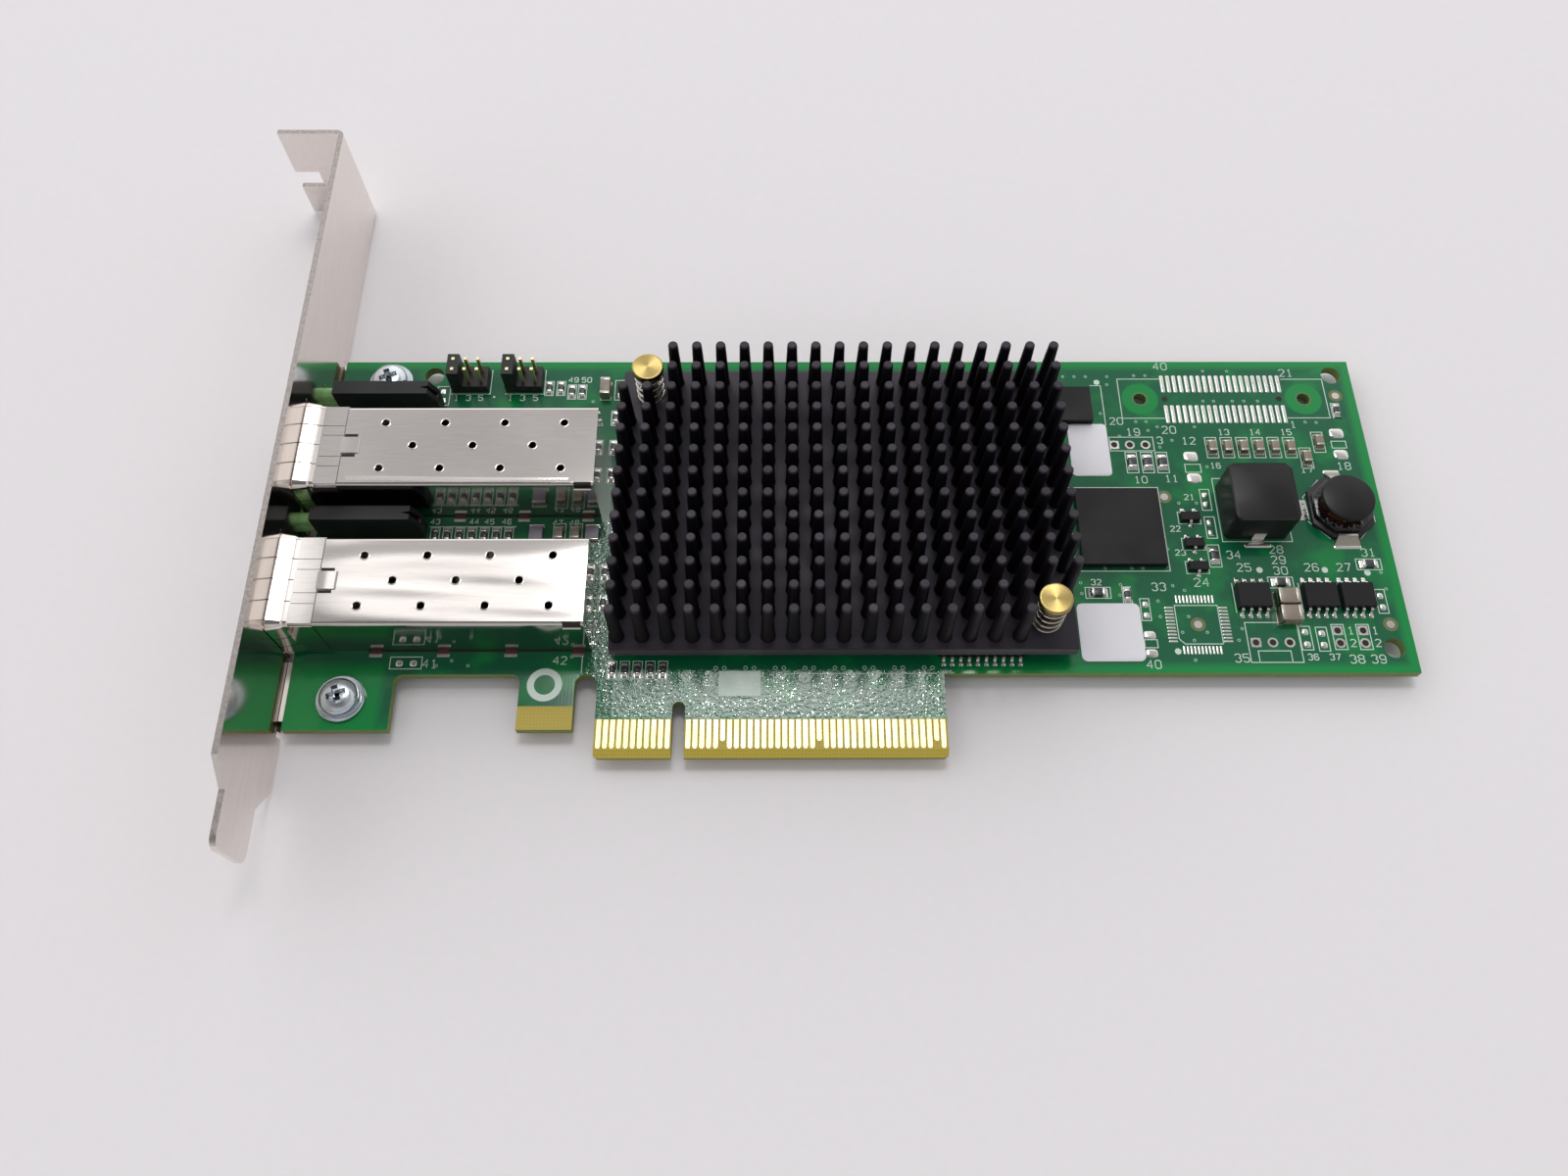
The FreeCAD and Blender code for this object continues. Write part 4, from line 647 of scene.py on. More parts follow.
class CARD_OT_board(bpy.types.Operator):
    """Finishes the board and its contacts, and adds the contacts on its back"""

    bl_idname = "card.board"
    bl_label = "Board and contacts"

    def execute(self, context):
        dress("board", "circuit_board")
        front, back = Form(), Form()
        under = box_of("circuit_board")[0].z
        tip_steps = 6
        for low, high in corner_boxes("edge_contacts"):
            # Each contact is square at the mask and round at its tip.
            middle, radius = (low.x + high.x) / 2, (high.x - low.x) / 2
            outline = [(high.x, high.y), (low.x, high.y)]
            for i in range(tip_steps + 1):
                turn = math.pi * (1 + i / tip_steps)
                outline.append((middle + radius * math.cos(turn), low.y + radius * (1 + math.sin(turn))))
            front.prism(outline, low.z, high.z, 0, 0.01)
            back.prism(outline, under - (high.z - low.z), under, 0, 0.01)
        front.piece("plated_contacts", "gold", "gold_plating", ["edge_contacts"], angle=10)
        back.piece("back_contacts", "gold", "gold_plating", angle=10)
        return {"FINISHED"}


class CARD_OT_bracket(bpy.types.Operator):
    """Finishes the bracket and builds its two screws with their washers"""

    bl_idname = "card.bracket"
    bl_label = "Bracket and screws"

    def execute(self, context):
        dress("bracket", "mounting_bracket")
        rim, seat, recess_turn = mm(sizes().washer) / 2, 0.62, 0.35
        washer = [(1.7, 0.0), (rim - 0.1, 0.0), (rim, 0.1), (rim, 0.5), (rim - 0.12, seat), (2.6, seat)]
        head = [(0.0, seat), (2.5, seat), (2.72, 0.85), (2.88, 1.12), (2.84, 1.45), (2.62, 1.84), (2.2, 2.18),
                (1.7, 2.38), (1.2, 2.47), (0.0, 2.5)]
        form, cutter = Form(), Form()
        for low, high in corner_boxes("bracket_screws"):
            x, y, _ = (low + high) / 2
            form.turned(x, y, washer, 0, 48)
            form.turned(x, y, head, 0, 48)
            form.turned(x, y, [(0.0, 0.6), (1.5, 0.6), (1.5, low.z + 0.3), (1.2, low.z), (0.0, low.z)], 0, 24)
            # The cross recess is cut with a tapered cross.
            for turn in (recess_turn, recess_turn + math.pi / 2):
                ahead = Vector((math.cos(turn), math.sin(turn), 0))
                cross = Vector((-ahead.y, ahead.x, 0))
                cutter.section([
                    [Vector((x, y, height)) + ahead * (a * reach) + cross * (b * half)
                     for a, b in ((1, 1), (-1, 1), (-1, -1), (1, -1))]
                    for reach, half, height in ((1.15, 0.36, 1.8), (1.5, 0.5, 2.6))])
        # The lug's bend fills the gap beside the board.
        bend = Form()
        bend.strap([(-57.93, 5.7, -0.5), (-57.93, 14.95, -0.5)], (0.95, 0, -0.31), 0.78, 0.2)
        bend.piece("lug_bend", "bent_steel", "bright_steel", angle=50)
        screws = form.piece("pan_head_screws", "zinc", "zinc_steel", ["bracket_screws"], angle=50)
        tool = cutter.piece("recess_cutter", "zinc")
        cut = screws.modifiers.new("cross_recess", "BOOLEAN")
        cut.object, cut.operation, cut.solver, cut.use_self = tool, "DIFFERENCE", "EXACT", True
        context.view_layer.update()
        shaped = bpy.data.meshes.new_from_object(screws.evaluated_get(context.evaluated_depsgraph_get()))
        screws.modifiers.clear()
        screws.data = shaped
        shaped.shade_smooth()
        shaped.set_sharp_from_angle(angle=math.radians(40))
        bpy.data.objects.remove(tool)
        return {"FINISHED"}


class CARD_OT_ports(bpy.types.Operator):
    """Finishes the port cages, rims their vents and builds their sprung collars"""

    bl_idname = "card.ports"
    bl_label = "Ports"

    def execute(self, context):
        for name in ("far", "near"):
            cage, collar = name + "_port_cage", name + "_port_collar"
            dress("nickel" if name == "far" else "wavy_nickel", cage)
            dress("plastic", name + "_port_connector")
            self.collar(name, cage, collar)
            self.trim(name, cage)
        return {"FINISHED"}

    def trim(self, name, cage):
        """Round rims on the vents and brown feet where the legs meet the board."""
        low, high = box_of(cage)
        middle, wall, top = (low.y + high.y) / 2, low.y, high.z
        sheet, dark, flux, solder = 0, 1, 2, 3
        rims = Form()
        first_vent, vent_pitch, vent_row = -18.35, 9.15, 4.05
        spots = [(first_vent - vent_pitch * i, row) for i in range(4) for row in (-vent_row, vent_row)]
        spots += [(first_vent - vent_pitch * (i + 0.5), 0.0) for i in range(3)]
        for x, row in spots:
            rims.turned(x, middle + row, [(0.6, top - 0.28), (0.6, top + 0.004), (0.66, top + 0.02),
                                          (0.76, top + 0.012), (0.8, top - 0.01)], sheet, 24)
        # A notch in the bend at the back, drawn as a dark strip over the bend as painted shade, with a turned-out lip
        # under it.
        notch = ((0.5, 0.006), (0.22, -0.05), (0.06, -0.2), (-0.006, -0.48), (-0.006, -1.2))
        rims.strap([(-14.9, wall + y, top + z) for y, z in notch], ALONG_X, 2.6, 0.02, dark)
        lip = ((0.0, -1.15), (-0.16, -1.3), (-0.1, -1.5))
        rims.strap([(-15.0, wall + y, top + z) for y, z in lip], ALONG_X, 2.6, 0.1)
        if name == "far":
            # The sheet falls a little towards its bend, and shines along the fall.
            fall = ((-50.6, 1.25, 0.034), (-36.0, 1.0, 0.026), (-17.0, 0.85, -0.012))
            rims.strap([(x, wall + y, top + z) for x, y, z in fall], (0, 1, 0.075), 0.75, 0.012)
        # A thin dark strip along the wall's foot is painted shade where the wall meets the board, and each leg stands
        # in flux and solder.
        rims.block((-46.6, wall - 0.16, 0.0), (-13.4, wall + 0.02, 0.1), dark)
        first_leg, leg_pitch = -15.25, 10.05
        for leg in range(4):
            x = first_leg - leg_pitch * leg
            rims.block((x - 0.8, wall - 0.55, 0.0), (x + 0.8, wall + 0.02, 0.12), flux, 0.04, 1)
            rims.block((x - 0.95, wall - 0.98, 0.0), (x + 0.95, wall - 0.5, 0.08), solder, 0.03, 1)
        rims.piece(name + "_cage_trim", "nickel bore flux tin", "satin_nickel")

    def collar(self, name, cage, collar):
        """Sprung fingers round the cage's mouth, bent over its corners, with a band and a tongue behind them."""
        low, high = box_of(cage)
        front = box_of(collar)[0].x
        half, middle, top = (high.y - low.y) / 2, (low.y + high.y) / 2, high.z
        over, far, near = 0, 1, -1
        spring, dark, sheet = 0, 1, 2
        # Lines are (from the front, out of the cage).
        swell = [(0.0, 0.55), (0.12, 0.7), (2.3, 0.84), (2.5, 0.84), (2.6, 0.83), (4.4, 0.48), (4.5, 0.45),
                 (4.75, 0.26), (5.5, 0.22)]
        band = [(5.3, 0.24), (6.3, 0.2), (8.8, 0.2)]
        tongue = [(8.6, 0.2), (9.3, 0.22), (10.4, 0.24), (11.2, 0.2), (11.4, 0.1)]
        form = Form()

        def finger(side, start, stop, line, kind, gap):
            """One finger of a side, from start to stop across it, less half a gap at both ends."""
            centre, width = (start + stop) / 2, stop - start - gap
            if side == over:
                points = [(front + run, middle + centre, top + out - 0.1) for run, out in line]
            else:
                points = [(front + run, middle + side * (half + out - 0.1), centre) for run, out in line]
            form.strap(points, ALONG_Y if side == over else ALONG_Z, width, 0.16, kind)

        for side, edges in ((over, [-6.6, -3.4, 0.0, 3.4, 6.6]), (far, [0.7, 3.4, 6.2, 9.3]),
                            (near, [0.7, 3.4, 6.2, 9.3])):
            for start, stop in zip(edges, edges[1:]):
                finger(side, start, stop, swell, spring, 0.16)
        bend, turns = 0.4, [math.radians(15 * i) for i in range(7)]

        def corner(run, out, sign):
            """The sheet bent over one top corner of the cage, at one point of the swell."""
            return [(front + run, middle + sign * (half - bend + reach * math.sin(t)),
                     top - bend + reach * math.cos(t))
                    for reach, order in ((bend + out - 0.02, turns), (bend + out - 0.18, turns[::-1]))
                    for t in order]

        for sign in (near, far):
            form.section([corner(run, out, sign) for run, out in swell], spring)
        edges = (-6.9, -3.75, -2.05, 1.7, 3.4, 6.9)
        for start, stop in zip(edges, edges[1:]):
            finger(over, start, stop, band, sheet, 0.1)
        finger(over, -1.4, 1.4, tongue, sheet, 0.0)
        # Two dark strips beside the tongue stand for its slots: painted shade.
        for centre in (middle - 1.78, middle + 1.78):
            form.block((front + 8.9, centre - 0.24, top), (front + 10.9, centre + 0.24, top + 0.015), dark)
        for side in (far, near):
            finger(side, 0.7, 9.4, band, sheet, 0.0)
        # A thin flange closes the bracket's window on both sides of the cage.
        for sign in (near, far):
            centre = middle + sign * (half + 0.66)
            form.block((front + 1.12, centre - 0.72, -0.45), (front + 1.24, centre + 0.72, top), spring)
        form.piece(name + "_sprung_collar", "steel bore nickel", "bright_steel", [collar], angle=20)


class CARD_OT_lights(bpy.types.Operator):
    """Finishes the light holders, their lenses, the jumper headers and their caps"""

    bl_idname = "card.lights"
    bl_label = "Lights and jumpers"

    def execute(self, context):
        for name in ("far", "near"):
            dress("plastic", name + "_light_holder")
            self.lens(name)
        for name in ("left", "right"):
            dress("plastic", name + "_jumper_header", name + "_jumper_cap")
        dress("gold", "jumper_pins")
        joints = Form()
        under = box_of("circuit_board")[0].z
        cone = ((0.75, 0.0), (0.6, 0.12), (0.4, 0.45), (0.28, 0.85), (0.0, 0.95))
        for low, high in corner_boxes("jumper_pins"):
            x, y, _ = (low + high) / 2
            joints.turned(x, y, [(radius, under - drop) for radius, drop in cone], 0, 16)
        joints.piece("header_solder_joints", "tin", "tinned_metal")
        return {"FINISHED"}

    def lens(self, name):
        """Two round light pipes, one over the other, behind a front plate in the bracket's window."""
        low, high = box_of(name + "_light_lens")
        y, z, radius = (low.y + high.y) / 2, (low.z + high.z) / 2, (high.y - low.y) / 2 - 0.06
        form = Form()
        for height in (low.z + radius, high.z - radius):
            form.wire([(low.x - 0.1, y, height), (high.x, y, height)], radius, 0, 24)
        plate = rounded(low.y, high.y, low.z, high.z, radius, 6)
        form.section([[(low.x + run, y + (u - y) * share, z + (v - z) * share) for u, v in plate]
                      for run, share in ((-1.05, 0.8), (-0.95, 1.0), (-0.15, 1.0), (0.0, 0.88))])
        form.piece(name + "_light_pipes", "lens", "green_lens", [name + "_light_lens"], angle=50)


class CARD_OT_heat_sink(bpy.types.Operator):
    """Builds the pin-fin heat sink, its push pins and their springs"""

    bl_idname = "card.heat_sink"
    bl_label = "Heat sink"

    def execute(self, context):
        s = sizes()
        low, high = box_of("heat_sink")
        dress("pad", "thermal_pad")
        dress("epoxy", "controller_chip")
        bright, flank, sawn = 0, 1, 2
        form = Form()
        floor = low.z + 2.4
        form.block(low, (high.x, high.y, floor), bright, 0.25)
        # The base's upright sides take the greyer finish: painted light from the pale floor in front.
        form.mesh.normal_update()
        for face in form.mesh.faces:
            if abs(face.normal.z) < 0.3:
                face.material_index = sawn
        foot, tip = mm(s.fin_foot) / 2, mm(s.fin_tip) / 2
        columns, rows, pitch_x, pitch_y = s.fin_columns, s.fin_rows, mm(s.fin_pitch_x), mm(s.fin_pitch_y)
        first_x = (low.x + high.x - pitch_x * (columns - 1)) / 2
        first_y = (low.y + high.y - pitch_y * (rows - 1)) / 2
        profile = [(foot + 0.12, floor - 0.05), (foot, floor + 0.25), (tip + 0.04, high.z - 0.35),
                   (tip, high.z - 0.16), (tip - 0.16, high.z), (0.0, high.z)]
        # The flanks take the darker copy of the black as painted shade; the tips keep the plain black.
        kinds = [flank, flank, bright, bright, bright]
        for i in range(columns):
            for j in range(rows):
                # Two corners stay bare for the push pins.
                if not ((i < 2 and j >= rows - 2) or (i >= columns - 2 and j < 2)):
                    form.turned(first_x + i * pitch_x, first_y + j * pitch_y, profile, kinds, 14)
        form.piece("pin_fin_heat_sink", "anodised fin sawn", "black_anodised", ["heat_sink"], angle=45)
        for name in ("far", "near"):
            self.push_pin(name)
        return {"FINISHED"}

    def push_pin(self, name):
        """A headed brass pin that snaps in under the board, and the spring round it."""
        s = sizes()
        low, high = box_of(name + "_push_pin")
        x, y, _ = (low + high) / 2
        under, top, rim, shank = box_of("circuit_board")[0].z, high.z, (high.x - low.x) / 2, 0.8
        pin = Form()
        pin.turned(x, y, [
            (0.0, top), (0.4, top), (rim - 0.3, top), (rim - 0.2, top), (rim - 0.06, top - 0.05), (rim, top - 0.18),
            (rim, top - 0.95), (rim - 0.1, top - 1.1), (shank, top - 1.1), (shank, 2.0), (1.2, 1.9), (1.2, under - 0.1),
            (1.75, under - 0.15), (1.75, under - 0.5), (1.0, low.z), (0.0, low.z)], 0, 64)
        pin.piece(name + "_turned_push_pin", "brass", "turned_brass", [name + "_push_pin"])
        coil = Form()
        low, high = box_of(name + "_push_spring")
        wire = mm(s.spring_wire) / 2
        radius = max(2.1, (high.x - low.x) / 2 - wire)
        # The end turns lie nearly flat.
        turns, steps, flat = s.spring_turns, 26, 0.7
        points = []
        for k in range(int(turns * steps) + 1):
            turn = k / steps
            share = min(1.0, max(0.0, (turn - flat) / (turns - 2 * flat)))
            height = low.z + wire + (high.z - low.z - 2 * wire) * share
            points.append((x + radius * math.cos(2 * math.pi * turn), y + radius * math.sin(2 * math.pi * turn),
                           height + 0.25 * min(turn, flat) / flat * wire))
        coil.wire(points, wire, 0, 10)
        coil.piece(name + "_coil_spring", "spring", "bright_steel", [name + "_push_spring"], angle=60)


class CARD_OT_chips(bpy.types.Operator):
    """Finishes the chip packages and bends their leads"""

    bl_idname = "card.chips"
    bl_label = "Chips and leads"

    def execute(self, context):
        dress("epoxy", "memory_chip", "flash_chip", "power_packages", "driver_package", "small_transistors")
        leads = Form()
        bodies = corner_boxes("power_packages")
        for low, high in corner_boxes("power_package_leads"):
            x, y, _ = (low + high) / 2
            body = min(bodies, key=lambda b: (b[0].x + b[1].x - 2 * x) ** 2 + (b[0].y + b[1].y - 2 * y) ** 2)
            out = 1 if y > (body[0].y + body[1].y) / 2 else -1
            self.gull_wing(leads, x, body[1].y if out > 0 else body[0].y, out, high.y - low.y, high.x - low.x)
        leads.piece("power_package_gull_wings", "tin", "tinned_metal", ["power_package_leads"], angle=50)
        more, width = Form(), 0.42
        for low, high in corner_boxes("small_transistors"):
            x = (low.x + high.x) / 2
            for spot, wall, out in ((x - 0.95, high.y, 1), (x + 0.95, high.y, 1), (x, low.y, -1)):
                self.gull_wing(more, spot, wall, out, 0.6, width, 0.7)
        low, high = corner_boxes("driver_package")[0]
        count, pitch = 10, 1.27
        for i in range(count):
            x = (low.x + high.x) / 2 + pitch * (i - (count - 1) / 2)
            self.gull_wing(more, x, low.y, -1, 1.1, width)
            self.gull_wing(more, x, high.y, 1, 1.1, width)
        more.piece("small_package_leads", "tin", "tinned_metal", angle=50)
        return {"FINISHED"}

    def gull_wing(self, form, x, y, out, reach, width, shoulder=0.75):
        """A lead bent out of a package's side, down, and out again along its pad."""
        bends = ((-0.1, shoulder), (reach * 0.24, shoulder), (reach * 0.38, shoulder - 0.06), (reach * 0.5, 0.2),
                 (reach * 0.62, 0.1), (reach, 0.09))
        form.strap([(x, y + out * run, z) for run, z in bends], ALONG_X, width, 0.16)
        toe, heel, side = y + out * (reach + 0.35), y + out * reach * 0.4, width / 2 + 0.1
        form.block((x - side, min(toe, heel), 0.0), (x + side, max(toe, heel), 0.035), 0, 0.02, 1)


class CARD_OT_inductors(bpy.types.Operator):
    """Finishes the two inductors and winds the drum's wire"""

    bl_idname = "card.inductors"
    bl_label = "Inductors"

    def execute(self, context):
        low, high = box_of("square_inductor")
        x, y, _ = (low + high) / 2
        front, side = low.y + 0.15, high.x - 0.3
        block = Form()
        block.prism(rounded(low.x + 0.15, side, front, high.y - 0.15, 0.9, 6), low.z, high.z - 0.1, 0, 0.38)
        block.piece("square_pressed_inductor", "ferrite", "ferrite", ["square_inductor"], angle=25)
        tabs = Form()
        bends = ((0.75, 0.08), (0.3, 0.12), (0.1, 0.5), (0.02, 1.85))
        tabs.strap([(x, front - out, z) for out, z in bends], ALONG_X, 1.9, 0.16)
        tabs.strap([(side + out, y, z) for out, z in bends], ALONG_Y, 1.9, 0.16)
        tabs.piece("square_inductor_tabs", "tin", "tinned_metal", ["square_inductor_clips"], angle=50)
        self.drum()
        low, high = box_of("drum_inductor_winding")
        x, y, _ = (low + high) / 2
        wire, turns, steps = 0.2, 8.5, 40
        radius, climb = (high.x - low.x) / 2 - wire, high.z - low.z - 2 * wire
        points = []
        for k in range(int(turns * steps) + 1):
            turn = 2 * math.pi * k / steps
            points.append((x + radius * math.cos(turn), y + radius * math.sin(turn),
                           low.z + wire + climb * k / (turns * steps)))
        form = Form()
        form.wire(points, wire)
        form.turned(x, y, [(radius - wire, low.z + 0.01), (radius - wire, high.z - 0.01)], 0, 40)
        form.piece("drum_copper_winding", "copper", "enamelled_copper", ["drum_inductor_winding"], angle=60)
        return {"FINISHED"}

    def drum(self):
        """The drum's ferrite core on its moulded foot, with varnish and two tinned clips."""
        low, high = box_of("drum_inductor_base")
        x, y, half = (low.x + high.x) / 2, (low.y + high.y) / 2, (high.x - low.x) / 2

        def octagon(half_corners):
            return [(x + sign * a, y + sign * b) for sign in (1, -1) for a, b in half_corners]

        foot = Form()
        foot.prism(octagon([(half - 0.2, 2.9), (2.1, 5.4), (-2.1, 5.4), (-half + 0.2, 2.9)]), low.z, high.z, 0, 0.12)
        foot.piece("drum_moulded_foot", "plastic", "black_plastic", ["drum_inductor_base"])
        low, high = box_of("drum_inductor_core")
        reach, flange, top, rim = (high.x - low.x) / 2, low.z + 0.8, high.z, 4.1
        slope = reach * math.tan(math.pi / 8)
        ferrite, varnish = 0, 1
        core = Form()
        core.prism(octagon([(reach, slope), (slope, reach), (-slope, reach), (-reach, slope)]), low.z, flange, varnish,
                   0.2)
        core.turned(x, y, [
            (1.5, flange), (1.5, top - 0.8), (rim - 0.15, top - 0.8), (rim - 0.03, top - 0.68), (rim, top - 0.5),
            (rim, top - 0.22), (rim - 0.07, top - 0.07), (rim - 0.25, top), (0.0, top)], ferrite, 64)
        lump = [(0.75, flange - 0.02), (0.7, flange + 0.2), (0.5, flange + 0.4), (0.0, flange + 0.5)]
        for turn in (-2.3, -1.95, -1.45, -1.1):
            core.turned(x + 4.0 * math.cos(turn), y + 4.0 * math.sin(turn), lump, varnish, 16)
        core.piece("drum_ferrite_core", "ferrite varnish", "ferrite", ["drum_inductor_core"], angle=50)
        clips, bright = Form(), 1
        # The solder slopes from the pad to the clip's edge, narrower at its top, and the back clip is narrower.
        slope = ((6.7, 0.02, 2.05), (6.4, 0.25, 2.0), (5.4, 0.95, 1.55), (5.2, 1.05, 1.5), (5.0, 1.0, 1.45))
        for out, share in ((-1, 1.0), (1, 0.6)):
            clips.section([
                [(x + sign * wide * share, y + out * (run - back), rise * low_share)
                 for sign, back, low_share in ((-1, 0.0, 1.0), (1, 0.0, 1.0), (1, 0.3, 0.6), (-1, 0.3, 0.6))]
                for run, rise, wide in slope])
            clips.pillow(x, y + out * 6.75, 4.3 * share, 0.7, 0.08, bright)
            # A strip along each clip's top edge takes the brighter tin: a painted highlight.
            clips.strap([(x + sign * 1.5 * share, y + out * 5.2, 1.08) for sign in (-1, 1)], ALONG_Y, 0.3, 0.08, bright)
        clips.piece("drum_tinned_clips", "dull_tin tin", "tinned_metal", angle=50)


class CARD_OT_small_parts(bpy.types.Operator):
    """Builds the chip capacitors, resistors and beads with their tinned ends"""

    bl_idname = "card.small_parts"
    bl_label = "Capacitors and resistors"

    def execute(self, context):
        for node, cap, reach, kinds, slot in (
            ("chip_capacitors", 0.42, 0.45, "tan dull_tin", "tan_ceramic"),
            ("large_capacitors", 0.55, 0.2, "tan dull_tin", "tan_ceramic"),
            ("chip_resistors", 0.36, 0.45, "dark tin", "dark_ceramic"),
            ("small_chips", 0.3, 0.45, "dark tin", "dark_ceramic"),
            ("ferrite_beads", 0.22, 0.45, "bead tin", "ferrite"),
        ):
            form = Form()
            for low, high in corner_boxes(node):
                if node == "large_capacitors" and high.x < 0:
                    # This one is a narrow chip of the same length.
                    low.x, high.x = low.x + 0.45, high.x - 0.45
                chip_with_ends(form, low, high, cap, reach)
            form.piece("soldered_" + node, kinds, slot, [node], angle=40)
        return {"FINISHED"}


# Strokes of the plain numerals, on a field four units wide and six high.
STROKES = {
    "0": [[(0, 1), (1, 0), (3, 0), (4, 1), (4, 5), (3, 6), (1, 6), (0, 5), (0, 1)]],
    "1": [[(0.8, 4.8), (2, 6), (2, 0)], [(0.8, 0), (3.2, 0)]],
    "2": [[(0, 5), (1, 6), (3, 6), (4, 5), (4, 4), (0, 0), (4, 0)]],
    "3": [[(0, 5), (1, 6), (3, 6), (4, 5), (4, 4), (3, 3.2), (4, 2.2), (4, 1), (3, 0), (1, 0), (0, 1)]],
    "4": [[(3, 0), (3, 6), (0, 2), (4, 2)]],
    "5": [[(4, 6), (0, 6), (0, 3.5), (3, 3.5), (4, 2.5), (4, 1), (3, 0), (1, 0), (0, 1)]],
    "6": [[(4, 5), (3, 6), (1, 6), (0, 5), (0, 1), (1, 0), (3, 0), (4, 1), (4, 2.4), (3, 3.4), (0, 3.4)]],
    "7": [[(0, 6), (4, 6), (1.5, 0)]],
    "8": [[(1, 3.2), (0, 4.2), (0, 5), (1, 6), (3, 6), (4, 5), (4, 4.2), (3, 3.2), (1, 3.2), (0, 2.2), (0, 1), (1, 0),
           (3, 0), (4, 1), (4, 2.2), (3, 3.2)]],
    "9": [[(4, 2.6), (1, 2.6), (0, 3.6), (0, 5), (1, 6), (3, 6), (4, 5), (4, 1), (3, 0), (1, 0), (0, 1)]],
}
# Holes for the pegs of the connector that isn't fitted.
PEG_HOLES = ((74.45, 61.45), (101.55, 61.45))
# Heights of thin layers over the mask, and of those under the board.
WINDOW_TOP, RING_TOP, SPECK_TOP, MARK_TOP, PRINT_TOP, LAND_TOP = 0.012, 0.014, 0.016, 0.02, 0.022, 0.03
UNDERSIDE = -1.585


